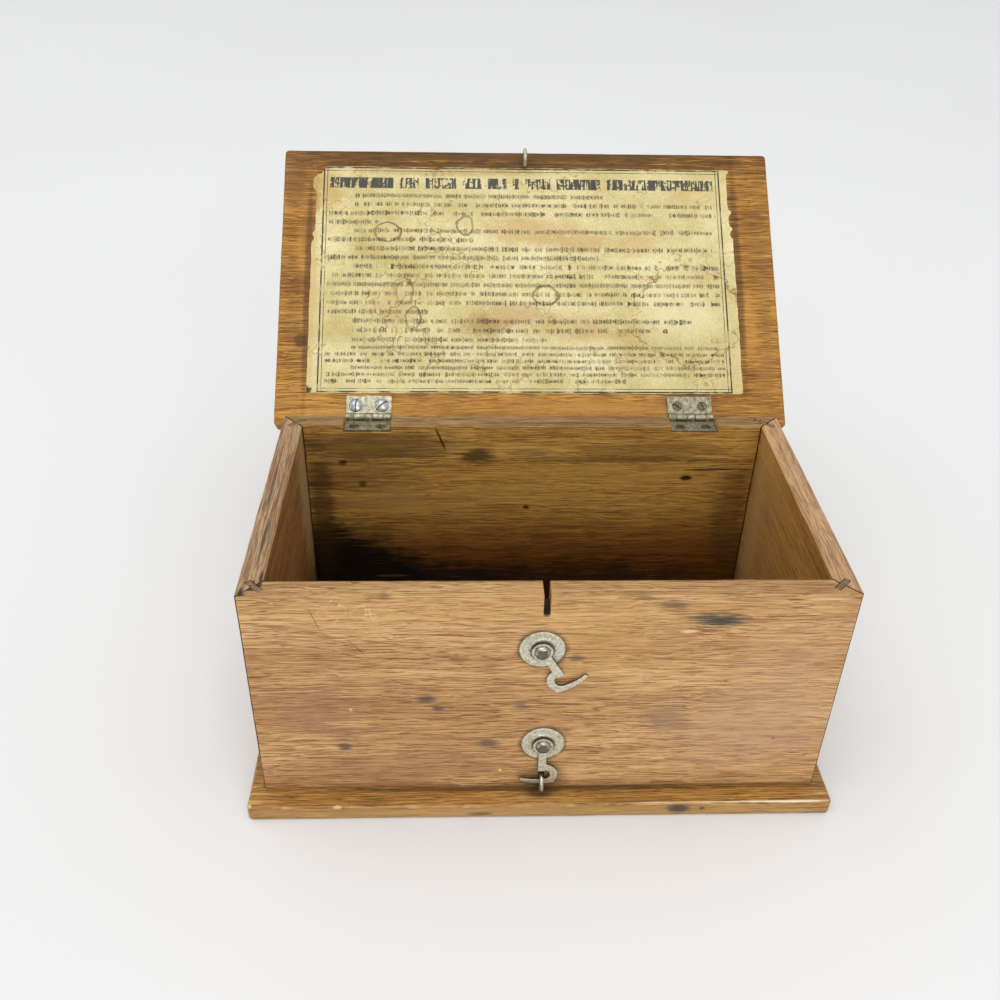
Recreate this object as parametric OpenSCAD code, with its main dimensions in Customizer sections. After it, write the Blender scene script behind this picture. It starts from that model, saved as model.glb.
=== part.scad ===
// Wooden apparatus case: a four-wall oak box that stands on a loose base board, with a hinged lid.
// An upper hook holds the lid down and a lower hook holds the case to its base board.
// Frame: origin at the centre of the base board's underside, +Z up, front of the case towards -Y.
// All lengths are in millimetres and all angles in degrees.

/* [Base board] */
// Width of the base board, left to right
base_w = 240; // [236:1:250]
// Thickness of the base board
base_t = 7.3; // [6:0.1:10]
// How far the base board stands out in front of the case
base_front = 9.7; // [9:0.1:16]
// How far the base board stands out behind the case
base_rear = 5.7; // [3:0.1:12]

/* [Case] */
// Outside width of the case
case_w = 228.6; // [200:0.1:232]
// Outside depth of the case, front to back
case_d = 130; // [110:0.5:160]
// Height of the case walls
case_h = 102.5; // [95:0.5:130]
// Thickness of the case walls
wall_t = 9.2; // [9:0.1:9.6]
// Width of the loose spline that crosses each corner mitre
spline_w = 8; // [6:0.1:9]
// Thickness of the spline
spline_t = 2.4; // [1.5:0.1:3]

/* [Lid] */
// How far the lid stands out past the case on each side
lid_side = 5.7; // [3:0.1:10]
// How far the closed lid stands out past the front wall
lid_front = 7.3; // [7:0.1:12]
// How far the closed lid stands out past the back wall
lid_rear = 5.75; // [4.5:0.05:5.8]
// Thickness of the lid board
lid_t = 8; // [7:0.1:10]
// Gap between the closed lid and the top of the walls
lid_gap = 0.3; // [0.2:0.05:0.5]
// Angle through which the lid is opened, from closed
lid_open = 138; // [0:1:138]

/* [Directions label] */
// Width of the paper sheet
label_w = 204.5; // [180:0.5:206]
// Height of the paper sheet
label_h = 119.5; // [100:0.5:121]
// Thickness of the paper sheet
label_t = 0.15; // [0.1:0.01:0.2]

/* [Hinges] */
// Length of each butt hinge along its pin
hinge_len = 21; // [19:0.5:26]
// Width of a hinge leaf, from the pin's axis to its edge
leaf_w = 10.6; // [10:0.1:11]
// Thickness of a hinge leaf
leaf_t = 0.9; // [0.7:0.05:1]
// Outside radius of a hinge knuckle
knuckle_r = 1.7; // [1.6:0.05:1.75]
// Radius of a hinge pin
pin_r = 0.9; // [0.8:0.05:0.95]
// Sideways place of the left hinge's centre
left_hinge_x = -76; // [-80:0.5:-60]
// Sideways place of the right hinge's centre
right_hinge_x = 74.4; // [60:0.1:80]

/* [Hooks and screw eyes] */
// Distance of each hook's pivot from the board that holds its screw eye
pivot_reach = 26; // [25.9:0.05:26.1]
// Sideways place of the upper hook's pivot
upper_pivot_x = -2.6; // [-3:0.1:-2.2]
// Sideways place of the lid's screw eye and of its slot
upper_eye_x = -1.6; // [-1.8:0.1:-1.4]
// Sideways place of the lower hook, its screw eye and its slot
lower_hook_x = -0.2; // [-2:0.1:2]
// Angle of the hanging upper hook from straight down
upper_hang = 31; // [0:1:40]
// Diameter of the round plate behind each hook
rosette_d = 17.3; // [16:0.1:19]
// Thickness of the hooks' sheet steel
hook_t = 0.9; // [0.8:0.05:0.95]
// Radius of a screw eye's wire
eye_wire_r = 0.9; // [0.8:0.05:0.9]
// Radius of a screw eye's ring, to the middle of the wire
eye_ring_r = 3.5; // [3.45:0.05:3.6]

/* [Hidden] */
$fn = 64;

// colours of the finishes
case_oak = "#b98f63";
lid_oak = "#a8763a";
base_oak = "#b08547";
old_paper = "#d9c98f";
nickel = "#b4b2a2";
bright_zinc = "#d3d6d2";

// main planes
base_d = base_front + case_d + base_rear;
front_y = -base_d / 2 + base_front;
back_y = front_y + case_d;
case_top = base_t + case_h;
eps = 1;

// board edges
plan_round = 2;
edge_round = 1.2;

// corner splines: their middle lies on the mitre, this far in from the inner corner
spline_in = 2.9;

// lid, drawn closed and then opened about the hinge pins
lid_under = case_top + lid_gap;
lid_w = case_w + 2 * lid_side;
lid_d = lid_front + case_d + lid_rear;
lid_rear_y = back_y + lid_rear;
label_x = -2.2;
label_rear_y = lid_rear_y - 15.2;

// hinge: the leaves lie this far above and below the pin's axis
leaf_off = knuckle_r + 0.1;
pin_y = back_y + 2;
pin_z = lid_under - leaf_off;
bore_r = pin_r + 0.05;
notch_back = knuckle_r + 0.5;
knuckle_gap = 0.2;
knuckle_ends = [0, 0.176, 0.405, 0.595, 0.824, 1];
mortise_len = hinge_len + 0.6;

// hinge screws
screw_pitch = 12;
box_screw_y = 7;
lid_screw_y = 5.8;
shank_r = 1.2;
shank_len = 6;
pilot_slack = 0.05;
csk_r = 2.2;
pan_r = 3.3;
pan_h = 1.5;
slot_w = 0.6;
slot_deep = 0.45;

// screw eyes stand just in front of the front wall's face
eye_y = front_y - 1.8;
eye_lift = eye_ring_r + eye_wire_r + 0.3;
eye_shank_r = 0.85;
eye_shank_len = 5.2;
eye_slot_w = 2.6;
upper_slot_deep = 9.1;
lower_slot_high = 10.1;

// hook pivots and the stack of parts on them, measured out from the wall's face
upper_pivot_z = lid_under - pivot_reach;
lower_pivot_z = base_t + pivot_reach;
plate_t = 0.5;
boss_t = 1;
boss_r = 4.7;
stack_gap = 0.05;
stem_r = 1.3;
stem_deep = 7;
dome_r = 3.1;
dome_h = 1.8;

// hook outline, pivot at the origin and shank straight down
hook_eye_r = 4.1;
shank_w = 3.3;
hook_step = 14.6;
hook_out_r = 21.8;
hook_in_r = 19.4;
tip_angle = 25;
tip_taper = 1.85;
bulge_c = [-0.4, -16.6];
bulge_out_r = 6.1;
bulge_in_r = 3;

// locating dowels at the back
dowel_r = 2.5;
dowel_x = 80;
dowel_down = 4.5;
dowel_up = 7;

module rounded_rect(w, h, r) {
    square([w - 2 * r, h], center = true);
    square([w, h - 2 * r], center = true);
    for (sx = [-1, 1], sy = [-1, 1])
        translate([sx * (w / 2 - r), sy * (h / 2 - r)]) circle(r);
}

// a flat board centred in X and Y on the floor, its corners and its long edges rounded
module rounded_board(w, d, t) {
    translate([0, 0, t / 2]) intersection() {
        translate([0, 0, -t / 2]) linear_extrude(t) rounded_rect(w, d, plan_round);
        rotate([90, 0, 0]) translate([0, 0, -d / 2]) linear_extrude(d) rounded_rect(w, t, edge_round);
        rotate([90, 0, 90]) translate([0, 0, -w / 2]) linear_extrude(w) rounded_rect(d, t, edge_round);
    }
}

// outline of one corner spline in plan; sx and sy say which corner of the case it is in
module spline_outline(sx, sy) {
    inner_x = sx * (case_w / 2 - wall_t + spline_in);
    inner_y = sy * (case_d / 2 - wall_t + spline_in);
    translate([inner_x, front_y + case_d / 2 + inner_y])
        rotate(-45 * sx * sy) square([spline_w, spline_t], center = true);
}

module corner_spline(sx, sy) {
    color(case_oak) translate([0, 0, base_t]) linear_extrude(case_h) spline_outline(sx, sy);
}

// a wall that runs in X, mitred at both ends; sy is -1 for the front and 1 for the back
module long_wall(sy) {
    o = case_w / 2;
    i = o - wall_t;
    y_out = front_y + case_d / 2 + sy * case_d / 2;
    y_in = y_out - sy * wall_t;
    translate([0, 0, base_t]) linear_extrude(case_h) difference() {
        polygon([[-o, y_out], [o, y_out], [i, y_in], [-i, y_in]]);
        for (sx = [-1, 1]) spline_outline(sx, sy);
    }
}

// a wall that runs in Y, mitred at both ends; sx is -1 for the left and 1 for the right
module side_wall(sx) {
    x_out = sx * case_w / 2;
    x_in = x_out - sx * wall_t;
    color(case_oak) translate([0, 0, base_t]) linear_extrude(case_h) difference() {
        polygon([[x_out, front_y], [x_out, back_y], [x_in, back_y - wall_t], [x_in, front_y + wall_t]]);
        for (sy = [-1, 1]) spline_outline(sx, sy);
    }
}

module base_board() {
    color(base_oak) difference() {
        rounded_board(base_w, base_d, base_t);
        translate([lower_hook_x, eye_y, base_t - eye_shank_len])
            cylinder(h = eye_shank_len + eps, r = eye_shank_r + pilot_slack);
        for (sx = [-1, 1]) translate([sx * dowel_x, back_y - wall_t / 2, base_t - dowel_down])
            cylinder(h = dowel_down + eps, r = dowel_r);
    }
}

module front_wall() {
    color(case_oak) difference() {
        long_wall(-1);
        translate([upper_eye_x - eye_slot_w / 2, front_y - eps, case_top - upper_slot_deep])
            cube([eye_slot_w, wall_t + 2 * eps, upper_slot_deep + eps]);
        translate([lower_hook_x - eye_slot_w / 2, front_y - eps, base_t - eps])
            cube([eye_slot_w, wall_t + 2 * eps, lower_slot_high + eps]);
        for (p = [[upper_pivot_x, upper_pivot_z], [lower_hook_x, lower_pivot_z]])
            translate([p.x, front_y - eps, p.y]) rotate([-90, 0, 0])
                cylinder(h = stem_deep + eps, r = stem_r + pilot_slack);
    }
}

module back_wall() {
    color(case_oak) difference() {
        long_wall(1);
        for (x = [left_hinge_x, right_hinge_x]) {
            translate([x - mortise_len / 2, back_y - wall_t - eps, pin_z - leaf_off])
                cube([mortise_len, wall_t + 2 * eps, 2 * leaf_off + eps]);
            for (s = [-1, 1])
                translate([x + s * screw_pitch / 2, pin_y - box_screw_y, pin_z - leaf_off - shank_len])
                    cylinder(h = shank_len + eps, r = shank_r + pilot_slack);
        }
        for (sx = [-1, 1]) translate([sx * dowel_x, back_y - wall_t / 2, base_t - eps])
            cylinder(h = dowel_up + eps, r = dowel_r);
    }
}

module locating_dowels() {
    color(base_oak) for (sx = [-1, 1])
        translate([sx * dowel_x, back_y - wall_t / 2, base_t - dowel_down])
            cylinder(h = dowel_down + dowel_up, r = dowel_r);
}

// turns what is drawn on the closed lid to the open lid's place
module opened() {
    translate([0, pin_y, pin_z]) rotate([-lid_open, 0, 0]) translate([0, -pin_y, -pin_z]) children();
}

module lid_board() {
    color(lid_oak) opened() difference() {
        translate([0, lid_rear_y - lid_d / 2, lid_under]) rounded_board(lid_w, lid_d, lid_t);
        for (x = [left_hinge_x, right_hinge_x], s = [-1, 1])
            translate([x + s * screw_pitch / 2, pin_y - lid_screw_y, lid_under - eps])
                cylinder(h = shank_len + eps, r = shank_r + pilot_slack);
        translate([upper_eye_x, eye_y, lid_under - eps])
            cylinder(h = eye_shank_len + eps, r = eye_shank_r + pilot_slack);
    }
}

// a paper sheet pasted on the lid's underside, with one torn front corner
module directions_label() {
    x0 = label_x - label_w / 2;
    x1 = label_x + label_w / 2;
    y0 = label_rear_y - label_h;
    color(old_paper) opened() translate([0, 0, lid_under - label_t]) linear_extrude(label_t)
        polygon([[x0, label_rear_y], [x1, label_rear_y], [x1, y0], [x0 + 8, y0],
            [x0 + 7, y0 + 2], [x0 + 3.5, y0 + 3], [x0 + 3, y0 + 10], [x0 + 0.6, y0 + 13]]);
}

// knuckles first, first + 2, ... along the pin, each shortened by gap at its free ends
module knuckles(first, gap) {
    for (k = [first : 2 : 4]) {
        from = (knuckle_ends[k] - 0.5) * hinge_len + (k > 0 ? gap / 2 : 0);
        to = (knuckle_ends[k + 1] - 0.5) * hinge_len - (k < 4 ? gap / 2 : 0);
        translate([from, 0, 0]) rotate([0, 90, 0]) cylinder(h = to - from, r = knuckle_r);
        translate([from, -notch_back - eps, -leaf_off]) cube([to - from, notch_back + eps, leaf_t]);
    }
}

// one leaf, drawn flat under the pin's axis and reaching towards -Y, with its two screw holes
module hinge_leaf(first, screw_y) {
    difference() {
        union() {
            translate([-hinge_len / 2, -leaf_w, -leaf_off]) cube([hinge_len, leaf_w - notch_back, leaf_t]);
            knuckles(first, knuckle_gap);
        }
        translate([-hinge_len / 2 - eps, 0, 0]) rotate([0, 90, 0])
            cylinder(h = hinge_len + 2 * eps, r = bore_r);
        for (s = [-1, 1]) translate([s * screw_pitch / 2, -screw_y, -leaf_off])
            cylinder(h = leaf_t, r1 = shank_r + pilot_slack, r2 = csk_r + pilot_slack);
    }
}

module box_leaf(x) {
    color(nickel) translate([x, pin_y, pin_z]) hinge_leaf(0, box_screw_y);
}

module lid_leaf(x) {
    color(nickel) opened() translate([x, pin_y, pin_z]) mirror([0, 0, 1]) hinge_leaf(1, lid_screw_y);
}

module hinge_pin(x) {
    color(nickel) translate([x - hinge_len / 2, pin_y, pin_z]) rotate([0, 90, 0])
        cylinder(h = hinge_len, r = pin_r);
}

// a slotted countersunk screw, its head's top at the origin, turned by the given angle
module flat_screw(turn) {
    difference() {
        union() {
            translate([0, 0, -leaf_t]) cylinder(h = leaf_t, r1 = shank_r, r2 = csk_r);
            translate([0, 0, -leaf_t - shank_len + 2]) cylinder(h = shank_len - 2, r = shank_r);
            translate([0, 0, -leaf_t - shank_len]) cylinder(h = 2, r1 = 0.2, r2 = shank_r);
        }
        rotate(turn) translate([-csk_r - eps, -slot_w / 2, -slot_deep])
            cube([2 * (csk_r + eps), slot_w, slot_deep + eps]);
    }
}

// a slotted screw with a low domed head that stands on the leaf
module domed_screw(turn) {
    ball_r = (pan_r * pan_r + pan_h * pan_h) / (2 * pan_h);
    difference() {
        union() {
            flat_screw(turn);
            intersection() {
                translate([0, 0, pan_h - ball_r]) sphere(ball_r);
                cylinder(h = pan_h, r = pan_r);
            }
        }
        rotate(turn) translate([-pan_r - eps, -slot_w / 2, pan_h - 0.9])
            cube([2 * (pan_r + eps), slot_w, 0.9 + eps]);
    }
}

module box_screws(x, turns) {
    color(nickel) for (k = [0, 1])
        translate([x + (k - 0.5) * screw_pitch, pin_y - box_screw_y, pin_z - leaf_off + leaf_t])
            flat_screw(turns[k]);
}

module lid_screw_places(x) {
    opened() for (k = [0, 1])
        translate([x + (k - 0.5) * screw_pitch, pin_y - lid_screw_y, pin_z + leaf_off - leaf_t])
            mirror([0, 0, 1]) children(k);
}

module left_hinge_lid_screws() {
    color(bright_zinc) lid_screw_places(left_hinge_x) {
        domed_screw(95);
        domed_screw(140);
    }
}

module right_hinge_lid_screws() {
    color(nickel) lid_screw_places(right_hinge_x) {
        flat_screw(35);
        flat_screw(80);
    }
}

// turns what is drawn with its axis along +Z to point out of the front wall at x, z
module on_front(x, z) {
    translate([x, front_y, z]) rotate([90, 0, 0]) children();
}

// the round plate: a thin disc with a bevelled rim and a raised boss for the hook to turn on
module rosette(x, z) {
    r = rosette_d / 2;
    color(nickel) on_front(x, z) rotate_extrude() polygon([[stem_r + pilot_slack, 0], [r, 0],
        [r, plate_t * 0.5], [r - 0.5, plate_t], [boss_r + 0.5, plate_t], [boss_r, boss_t],
        [stem_r + pilot_slack, boss_t]]);
}

module hook_outline() {
    difference() {
        union() {
            circle(hook_eye_r);
            translate([-shank_w / 2, -hook_step]) square([shank_w, hook_step]);
            intersection() {
                difference() {
                    translate(bulge_c) circle(bulge_out_r);
                    translate(bulge_c) circle(bulge_in_r);
                }
                translate([bulge_c.x - 8, -hook_out_r - eps]) square([8, 14]);
                circle(hook_out_r);
            }
            intersection() {
                difference() {
                    circle(hook_out_r);
                    translate([tip_taper, 0])
                        circle(sqrt(hook_in_r * hook_in_r + tip_taper * tip_taper));
                }
                polygon([[0, 0], 40 * [-sin(15), -cos(15)], [0, -40],
                    40 * [sin(tip_angle), -cos(tip_angle)]]);
            }
        }
        circle(stem_r + pilot_slack);
    }
}

// a flat hook on the front wall, hanging straight down and then turned
module hook(x, z, flip, turn) {
    color(nickel) on_front(x, z) translate([0, 0, boss_t + stack_gap]) rotate(turn)
        linear_extrude(hook_t) mirror([flip, 0]) hook_outline();
}

// the pivot: a stem in the wall and a round head over the hook
module hook_pivot(x, z) {
    ball_r = (dome_r * dome_r + dome_h * dome_h) / (2 * dome_h);
    head = boss_t + hook_t + 2 * stack_gap;
    color(nickel) on_front(x, z) {
        translate([0, 0, -stem_deep]) cylinder(h = stem_deep + head, r = stem_r);
        intersection() {
            translate([0, 0, head + dome_h - ball_r]) sphere(ball_r);
            translate([0, 0, head]) cylinder(h = dome_h, r = dome_r);
        }
    }
}

// a screw eye that stands on a board at the origin, its ring in the YZ plane
module screw_eye() {
    translate([0, 0, eye_lift]) rotate([0, 90, 0]) rotate_extrude()
        translate([eye_ring_r, 0]) circle(eye_wire_r);
    translate([0, 0, -eye_shank_len]) cylinder(h = eye_shank_len + 0.6, r = eye_shank_r);
}

module lid_screw_eye() {
    color(nickel) opened() translate([upper_eye_x, eye_y, lid_under]) mirror([0, 0, 1]) screw_eye();
}

module base_screw_eye() {
    color(nickel) translate([lower_hook_x, eye_y, base_t]) screw_eye();
}

base_board();
front_wall();
back_wall();
side_wall(-1);  // left_wall
side_wall(1);  // right_wall
corner_spline(-1, -1);  // front_left_spline
corner_spline(1, -1);  // front_right_spline
corner_spline(-1, 1);  // back_left_spline
corner_spline(1, 1);  // back_right_spline
locating_dowels();
lid_board();
directions_label();
box_leaf(left_hinge_x);  // left_hinge_box_leaf
lid_leaf(left_hinge_x);  // left_hinge_lid_leaf
hinge_pin(left_hinge_x);  // left_hinge_pin
box_screws(left_hinge_x, [20, 75]);  // left_hinge_box_screws
left_hinge_lid_screws();
box_leaf(right_hinge_x);  // right_hinge_box_leaf
lid_leaf(right_hinge_x);  // right_hinge_lid_leaf
hinge_pin(right_hinge_x);  // right_hinge_pin
box_screws(right_hinge_x, [15, 170]);  // right_hinge_box_screws
right_hinge_lid_screws();
rosette(upper_pivot_x, upper_pivot_z);  // upper_rosette
hook(upper_pivot_x, upper_pivot_z, 0, upper_hang);  // upper_hook
hook_pivot(upper_pivot_x, upper_pivot_z);  // upper_hook_pivot
lid_screw_eye();
rosette(lower_hook_x, lower_pivot_z);  // lower_rosette
hook(lower_hook_x, lower_pivot_z, 1, 0);  // lower_hook
hook_pivot(lower_hook_x, lower_pivot_z);  // lower_hook_pivot
base_screw_eye();
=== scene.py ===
"""An old oak apparatus case: four mitred walls on a loose base board, a hinged lid with a
printed sheet pasted inside it, and two nickelled hooks that hold lid, case and base together."""

import math

import bmesh
import bpy
from mathutils import Matrix, Vector, noise


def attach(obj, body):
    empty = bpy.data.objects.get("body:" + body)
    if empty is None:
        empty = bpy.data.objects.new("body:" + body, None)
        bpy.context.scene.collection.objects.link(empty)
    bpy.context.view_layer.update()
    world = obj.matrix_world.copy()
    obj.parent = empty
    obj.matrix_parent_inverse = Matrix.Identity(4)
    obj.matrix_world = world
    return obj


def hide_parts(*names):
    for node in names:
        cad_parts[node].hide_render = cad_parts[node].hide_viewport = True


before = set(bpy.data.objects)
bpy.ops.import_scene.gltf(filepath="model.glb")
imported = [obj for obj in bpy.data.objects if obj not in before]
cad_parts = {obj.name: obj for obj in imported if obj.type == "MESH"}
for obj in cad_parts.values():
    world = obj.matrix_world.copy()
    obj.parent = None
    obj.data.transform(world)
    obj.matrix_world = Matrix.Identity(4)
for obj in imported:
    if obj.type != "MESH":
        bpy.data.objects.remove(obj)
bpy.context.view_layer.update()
bpy.ops.object.select_all(action="DESELECT")


# ---- Base board ----
# A loose oak board that the case stands on, planed, with every edge rounded over. Its shellac gives
# a warm golden brown with a soft shine, and is rubbed off the front arris on the right.
BASE_X, BASE_Y, BASE_TOP = 120, 72.7, 7.3


def metres(*place):
    """A place given in millimetres."""
    return [c / 1000 for c in place]


def block(name, low, high, turn=0):
    """Adds a block between two corners in millimetres, turned about its upright middle line by
    so many degrees, and opens it in edit mode."""
    bpy.ops.mesh.primitive_cube_add(
        size=1,
        location=[(a + b) / 2000 for a, b in zip(low, high)],
        scale=metres(*(b - a for a, b in zip(low, high))),
        rotation=(0, 0, math.radians(turn)),
    )
    return opened_up(name)


def opened_up(name):
    """Names the newest primitive, puts its place into its mesh and opens it in edit mode."""
    piece = bpy.context.active_object
    piece.name = piece.data.name = name
    bpy.ops.object.transform_apply(location=True, rotation=True, scale=True)
    bpy.ops.object.mode_set(mode="EDIT")
    return piece


def pick(kind, test):
    """Selects the vertices, edges or faces that pass a test of their middle, in millimetres,
    and their normal, or an edge's direction."""
    bpy.ops.mesh.select_mode(type=kind)
    bpy.ops.mesh.select_all(action="DESELECT")
    shape = bmesh.from_edit_mesh(bpy.context.active_object.data)
    shape.normal_update()
    for part in {"VERT": shape.verts, "EDGE": shape.edges, "FACE": shape.faces}[kind]:
        if kind == "VERT":
            middle, way = part.co, part.normal
        elif kind == "EDGE":
            ends = [v.co for v in part.verts]
            middle, way = (ends[0] + ends[1]) / 2, (ends[1] - ends[0]).normalized()
        else:
            middle, way = part.calc_center_median(), part.normal
        if test(middle * 1000, way):
            part.select_set(True)
    shape.select_flush_mode()
    bmesh.update_edit_mesh(bpy.context.active_object.data)


def bevel(width, segments):
    """Rounds the selected edges by a width in millimetres."""
    bpy.ops.mesh.bevel(offset=width / 1000, segments=segments, affect="EDGES", clamp_overlap=True)


def bevel_sharp(width, segments, angle=30):
    """Rounds every edge that is still sharp."""
    bpy.ops.mesh.select_mode(type="EDGE")
    bpy.ops.mesh.select_all(action="DESELECT")
    bpy.ops.mesh.edges_select_sharp(sharpness=math.radians(angle))
    bevel(width, segments)


def slices(axis, low, high, step):
    """Cuts a board across at even steps, so that its faces have points enough to wear unevenly."""
    count = max(1, round((high - low) / step))
    for k in range(1, count):
        place, way = [0, 0, 0], [0, 0, 0]
        place[axis] = low + (high - low) * k / count
        way[axis] = 1
        bpy.ops.mesh.select_all(action="SELECT")
        bpy.ops.mesh.bisect(plane_co=metres(*place), plane_no=way)


def apply_modifier(piece, kind, **settings):
    """Adds a modifier with its settings to the active piece and applies it."""
    modifier = piece.modifiers.new(kind.lower(), kind)
    for setting, value in settings.items():
        setattr(modifier, setting, value)
    bpy.ops.object.modifier_apply(modifier=modifier.name)


def weather(piece, depth, spacing):
    """Handling and drying: the surface rises and falls by a few hundredths of a millimetre."""
    bpy.ops.object.mode_set(mode="OBJECT")
    clouds = bpy.data.textures.new(piece.name + ".wear", "CLOUDS")
    clouds.noise_scale = spacing / 1000
    apply_modifier(piece, "DISPLACE", texture=clouds, strength=depth / 1000, mid_level=0.5)


def choose(piece):
    """Leaves edit mode and makes a piece the only one that is selected."""
    if bpy.context.mode != "OBJECT":
        bpy.ops.object.mode_set(mode="OBJECT")
    bpy.ops.object.select_all(action="DESELECT")
    piece.select_set(True)
    bpy.context.view_layer.objects.active = piece


def coat(piece, material):
    """Takes off any finish that a piece has and gives it another."""
    piece.data.materials.clear()
    piece.data.materials.append(material)


def hand_over(piece, body, nodes, material, angle=35):
    """Shades a finished piece, gives it its material and fixes it to its body."""
    choose(piece)
    bpy.ops.object.shade_smooth_by_angle(angle=math.radians(angle))
    apply_modifier(piece, "WEIGHTED_NORMAL", keep_sharp=True)
    coat(piece, material)
    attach(piece, body)
    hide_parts(*nodes)
    bpy.ops.object.select_all(action="DESELECT")


def linear(hex_colour):
    """An sRGB hex colour as linear RGBA."""
    channels = [int(hex_colour[k : k + 2], 16) / 255 for k in (1, 3, 5)]
    return [c / 12.92 if c <= 0.04045 else ((c + 0.055) / 1.055) ** 2.4 for c in channels] + [1]


def add(tree, kind, sockets=(), stops=None, **settings):
    """Adds a shader node with its settings, its ramp's stops, and its sockets' values or links,
    which come in order, or by number or name."""
    new = tree.nodes.new("ShaderNode" + kind)
    for setting, value in settings.items():
        setattr(new, setting, value)
    if stops:
        ramp = new.color_ramp.elements
        while len(ramp) < len(stops):
            ramp.new(0.5)
        for element, (place, colour) in zip(ramp, stops):
            element.position = place
            element.color = linear(colour) if isinstance(colour, str) else (colour,) * 3 + (1,)
    for socket, value in sockets.items() if isinstance(sockets, dict) else enumerate(sockets):
        if isinstance(value, bpy.types.Node):
            value = value.outputs[0]
        if isinstance(value, bpy.types.NodeSocket):
            tree.links.new(value, new.inputs[socket])
        else:
            new.inputs[socket].default_value = value
    return new


def bare_material(name):
    """A new material and its node tree, with no nodes in it yet."""
    material = bpy.data.materials.new(name)
    material.use_nodes = True
    material.node_tree.nodes.clear()
    return material, material.node_tree


def millimetres_from(tree, origin, turn, sizes=(0.001, 0.001, 0.001)):
    """A place on a piece in millimetres, counted from origin (mm) after turn (degrees)."""
    return add(
        tree,
        "Mapping",
        [
            add(tree, "TexCoord").outputs["Object"],
            metres(*origin),
            [math.radians(a) for a in turn],
            sizes,
        ],
        vector_type="TEXTURE",
    )


def oak(name, slide, tones, pore_shade, figure=1.0, origin=(0, 0, 0), turn=(0, 0, 0)):
    """Oak on every face of one board. X runs with the grain, in millimetres from origin (mm) after
    turn (degrees), and slide moves the grain so that no two boards match. Tones go dark to pale,
    and figure is how strongly the growth rings show."""
    material, tree = bare_material(name)
    at = millimetres_from(tree, origin, turn)
    # the grain sways by about half a millimetre over a length of 40 mm
    sway = add(tree, "Mapping", {0: at, 1: slide, 3: (0.025, 0.06, 0.06)})
    sway = add(tree, "TexNoise", {0: sway, "Scale": 1, "Detail": 2}).outputs["Color"]
    swayed = add(tree, "VectorMath", [sway, (0, 3, 3), at], operation="MULTIPLY_ADD")
    # colour drifts over 25 mm, growth rings are 2.4 mm apart, fibres are drawn 0.45 mm wide and
    # open pores are 0.4 mm by 11 mm, coarser than the real 0.3 mm so that they show
    layers = {}
    for layer, along, across, detail in (
        ("drift", 150, 25, 2),
        ("rings", 120, 2.4, 4),
        ("fibre", 22, 0.45, 2),
        ("pores", 12, 0.38, 2),
        ("blotch", 14, 9, 4),
    ):
        placed = add(tree, "Mapping", {0: swayed, 1: slide, 3: (1 / along, 1 / across, 1 / across)})
        layers[layer] = add(
            tree,
            "TexNoise",
            {0: placed, "Scale": 1, "Detail": detail, "Roughness": 0.65, "Distortion": 0.3},
        )
    mixed = add(tree, "Math", [layers["rings"], figure], operation="MULTIPLY")
    mixed = add(tree, "Math", [layers["drift"], 0.8, mixed], operation="MULTIPLY_ADD")
    mixed = add(tree, "Math", [layers["fibre"], 1.5, mixed], operation="MULTIPLY_ADD")
    middle = 1.15 + figure / 2
    mixed = add(tree, "MapRange", [mixed, middle - 0.29, middle + 0.29, 0, 1])
    dark, middle, pale = tones
    wood = add(tree, "ValToRGB", [mixed], stops=[(0, dark), (0.5, middle), (1, pale)])
    # pores crowd into the early wood of each ring
    crowded = add(tree, "Math", [layers["rings"], -0.22, layers["pores"]], operation="MULTIPLY_ADD")
    pores = add(tree, "MapRange", [crowded, 0.43, 0.5, 0, 0.8])
    colour = add(tree, "MixRGB", [pores, wood, linear(pore_shade)])
    return {
        "material": material,
        "tree": tree,
        "at": at,
        "layers": layers,
        "pores": pores,
        "colour": colour,
    }


def reach_from(tree, at, place, size):
    """How far off a place is, where 1 is the edge of an oval of this half size."""
    off = add(tree, "VectorMath", [at, place], operation="SUBTRACT")
    off = add(tree, "VectorMath", [off, size], operation="DIVIDE")
    return add(tree, "VectorMath", [off], operation="LENGTH").outputs["Value"]


def tint(board, mask, shade, blend="MIX"):
    """Colours a board wherever the mask is."""
    board["colour"] = add(
        board["tree"], "MixRGB", [mask, board["colour"], linear(shade)], blend_type=blend
    )


def stain(board, place, size, shade, amount, ragged=0.9, soft=0.35):
    """Lays a ragged mark over a board's colour, at a place in millimetres; soft is its edge."""
    tree = board["tree"]
    reach = reach_from(tree, board["at"], place, size)
    edge = add(tree, "Math", [board["layers"]["blotch"], ragged, reach], operation="MULTIPLY_ADD")
    fibre = board["layers"]["fibre"]
    edge = add(tree, "Math", [fibre, 1.3 * ragged, edge], operation="MULTIPLY_ADD")
    middle = 0.8 + 1.15 * ragged
    mask = add(
        tree,
        "MapRange",
        [edge, middle + soft, middle - soft, 0, amount],
        interpolation_type="SMOOTHSTEP",
    )
    tint(board, mask, shade)
    return mask


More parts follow.
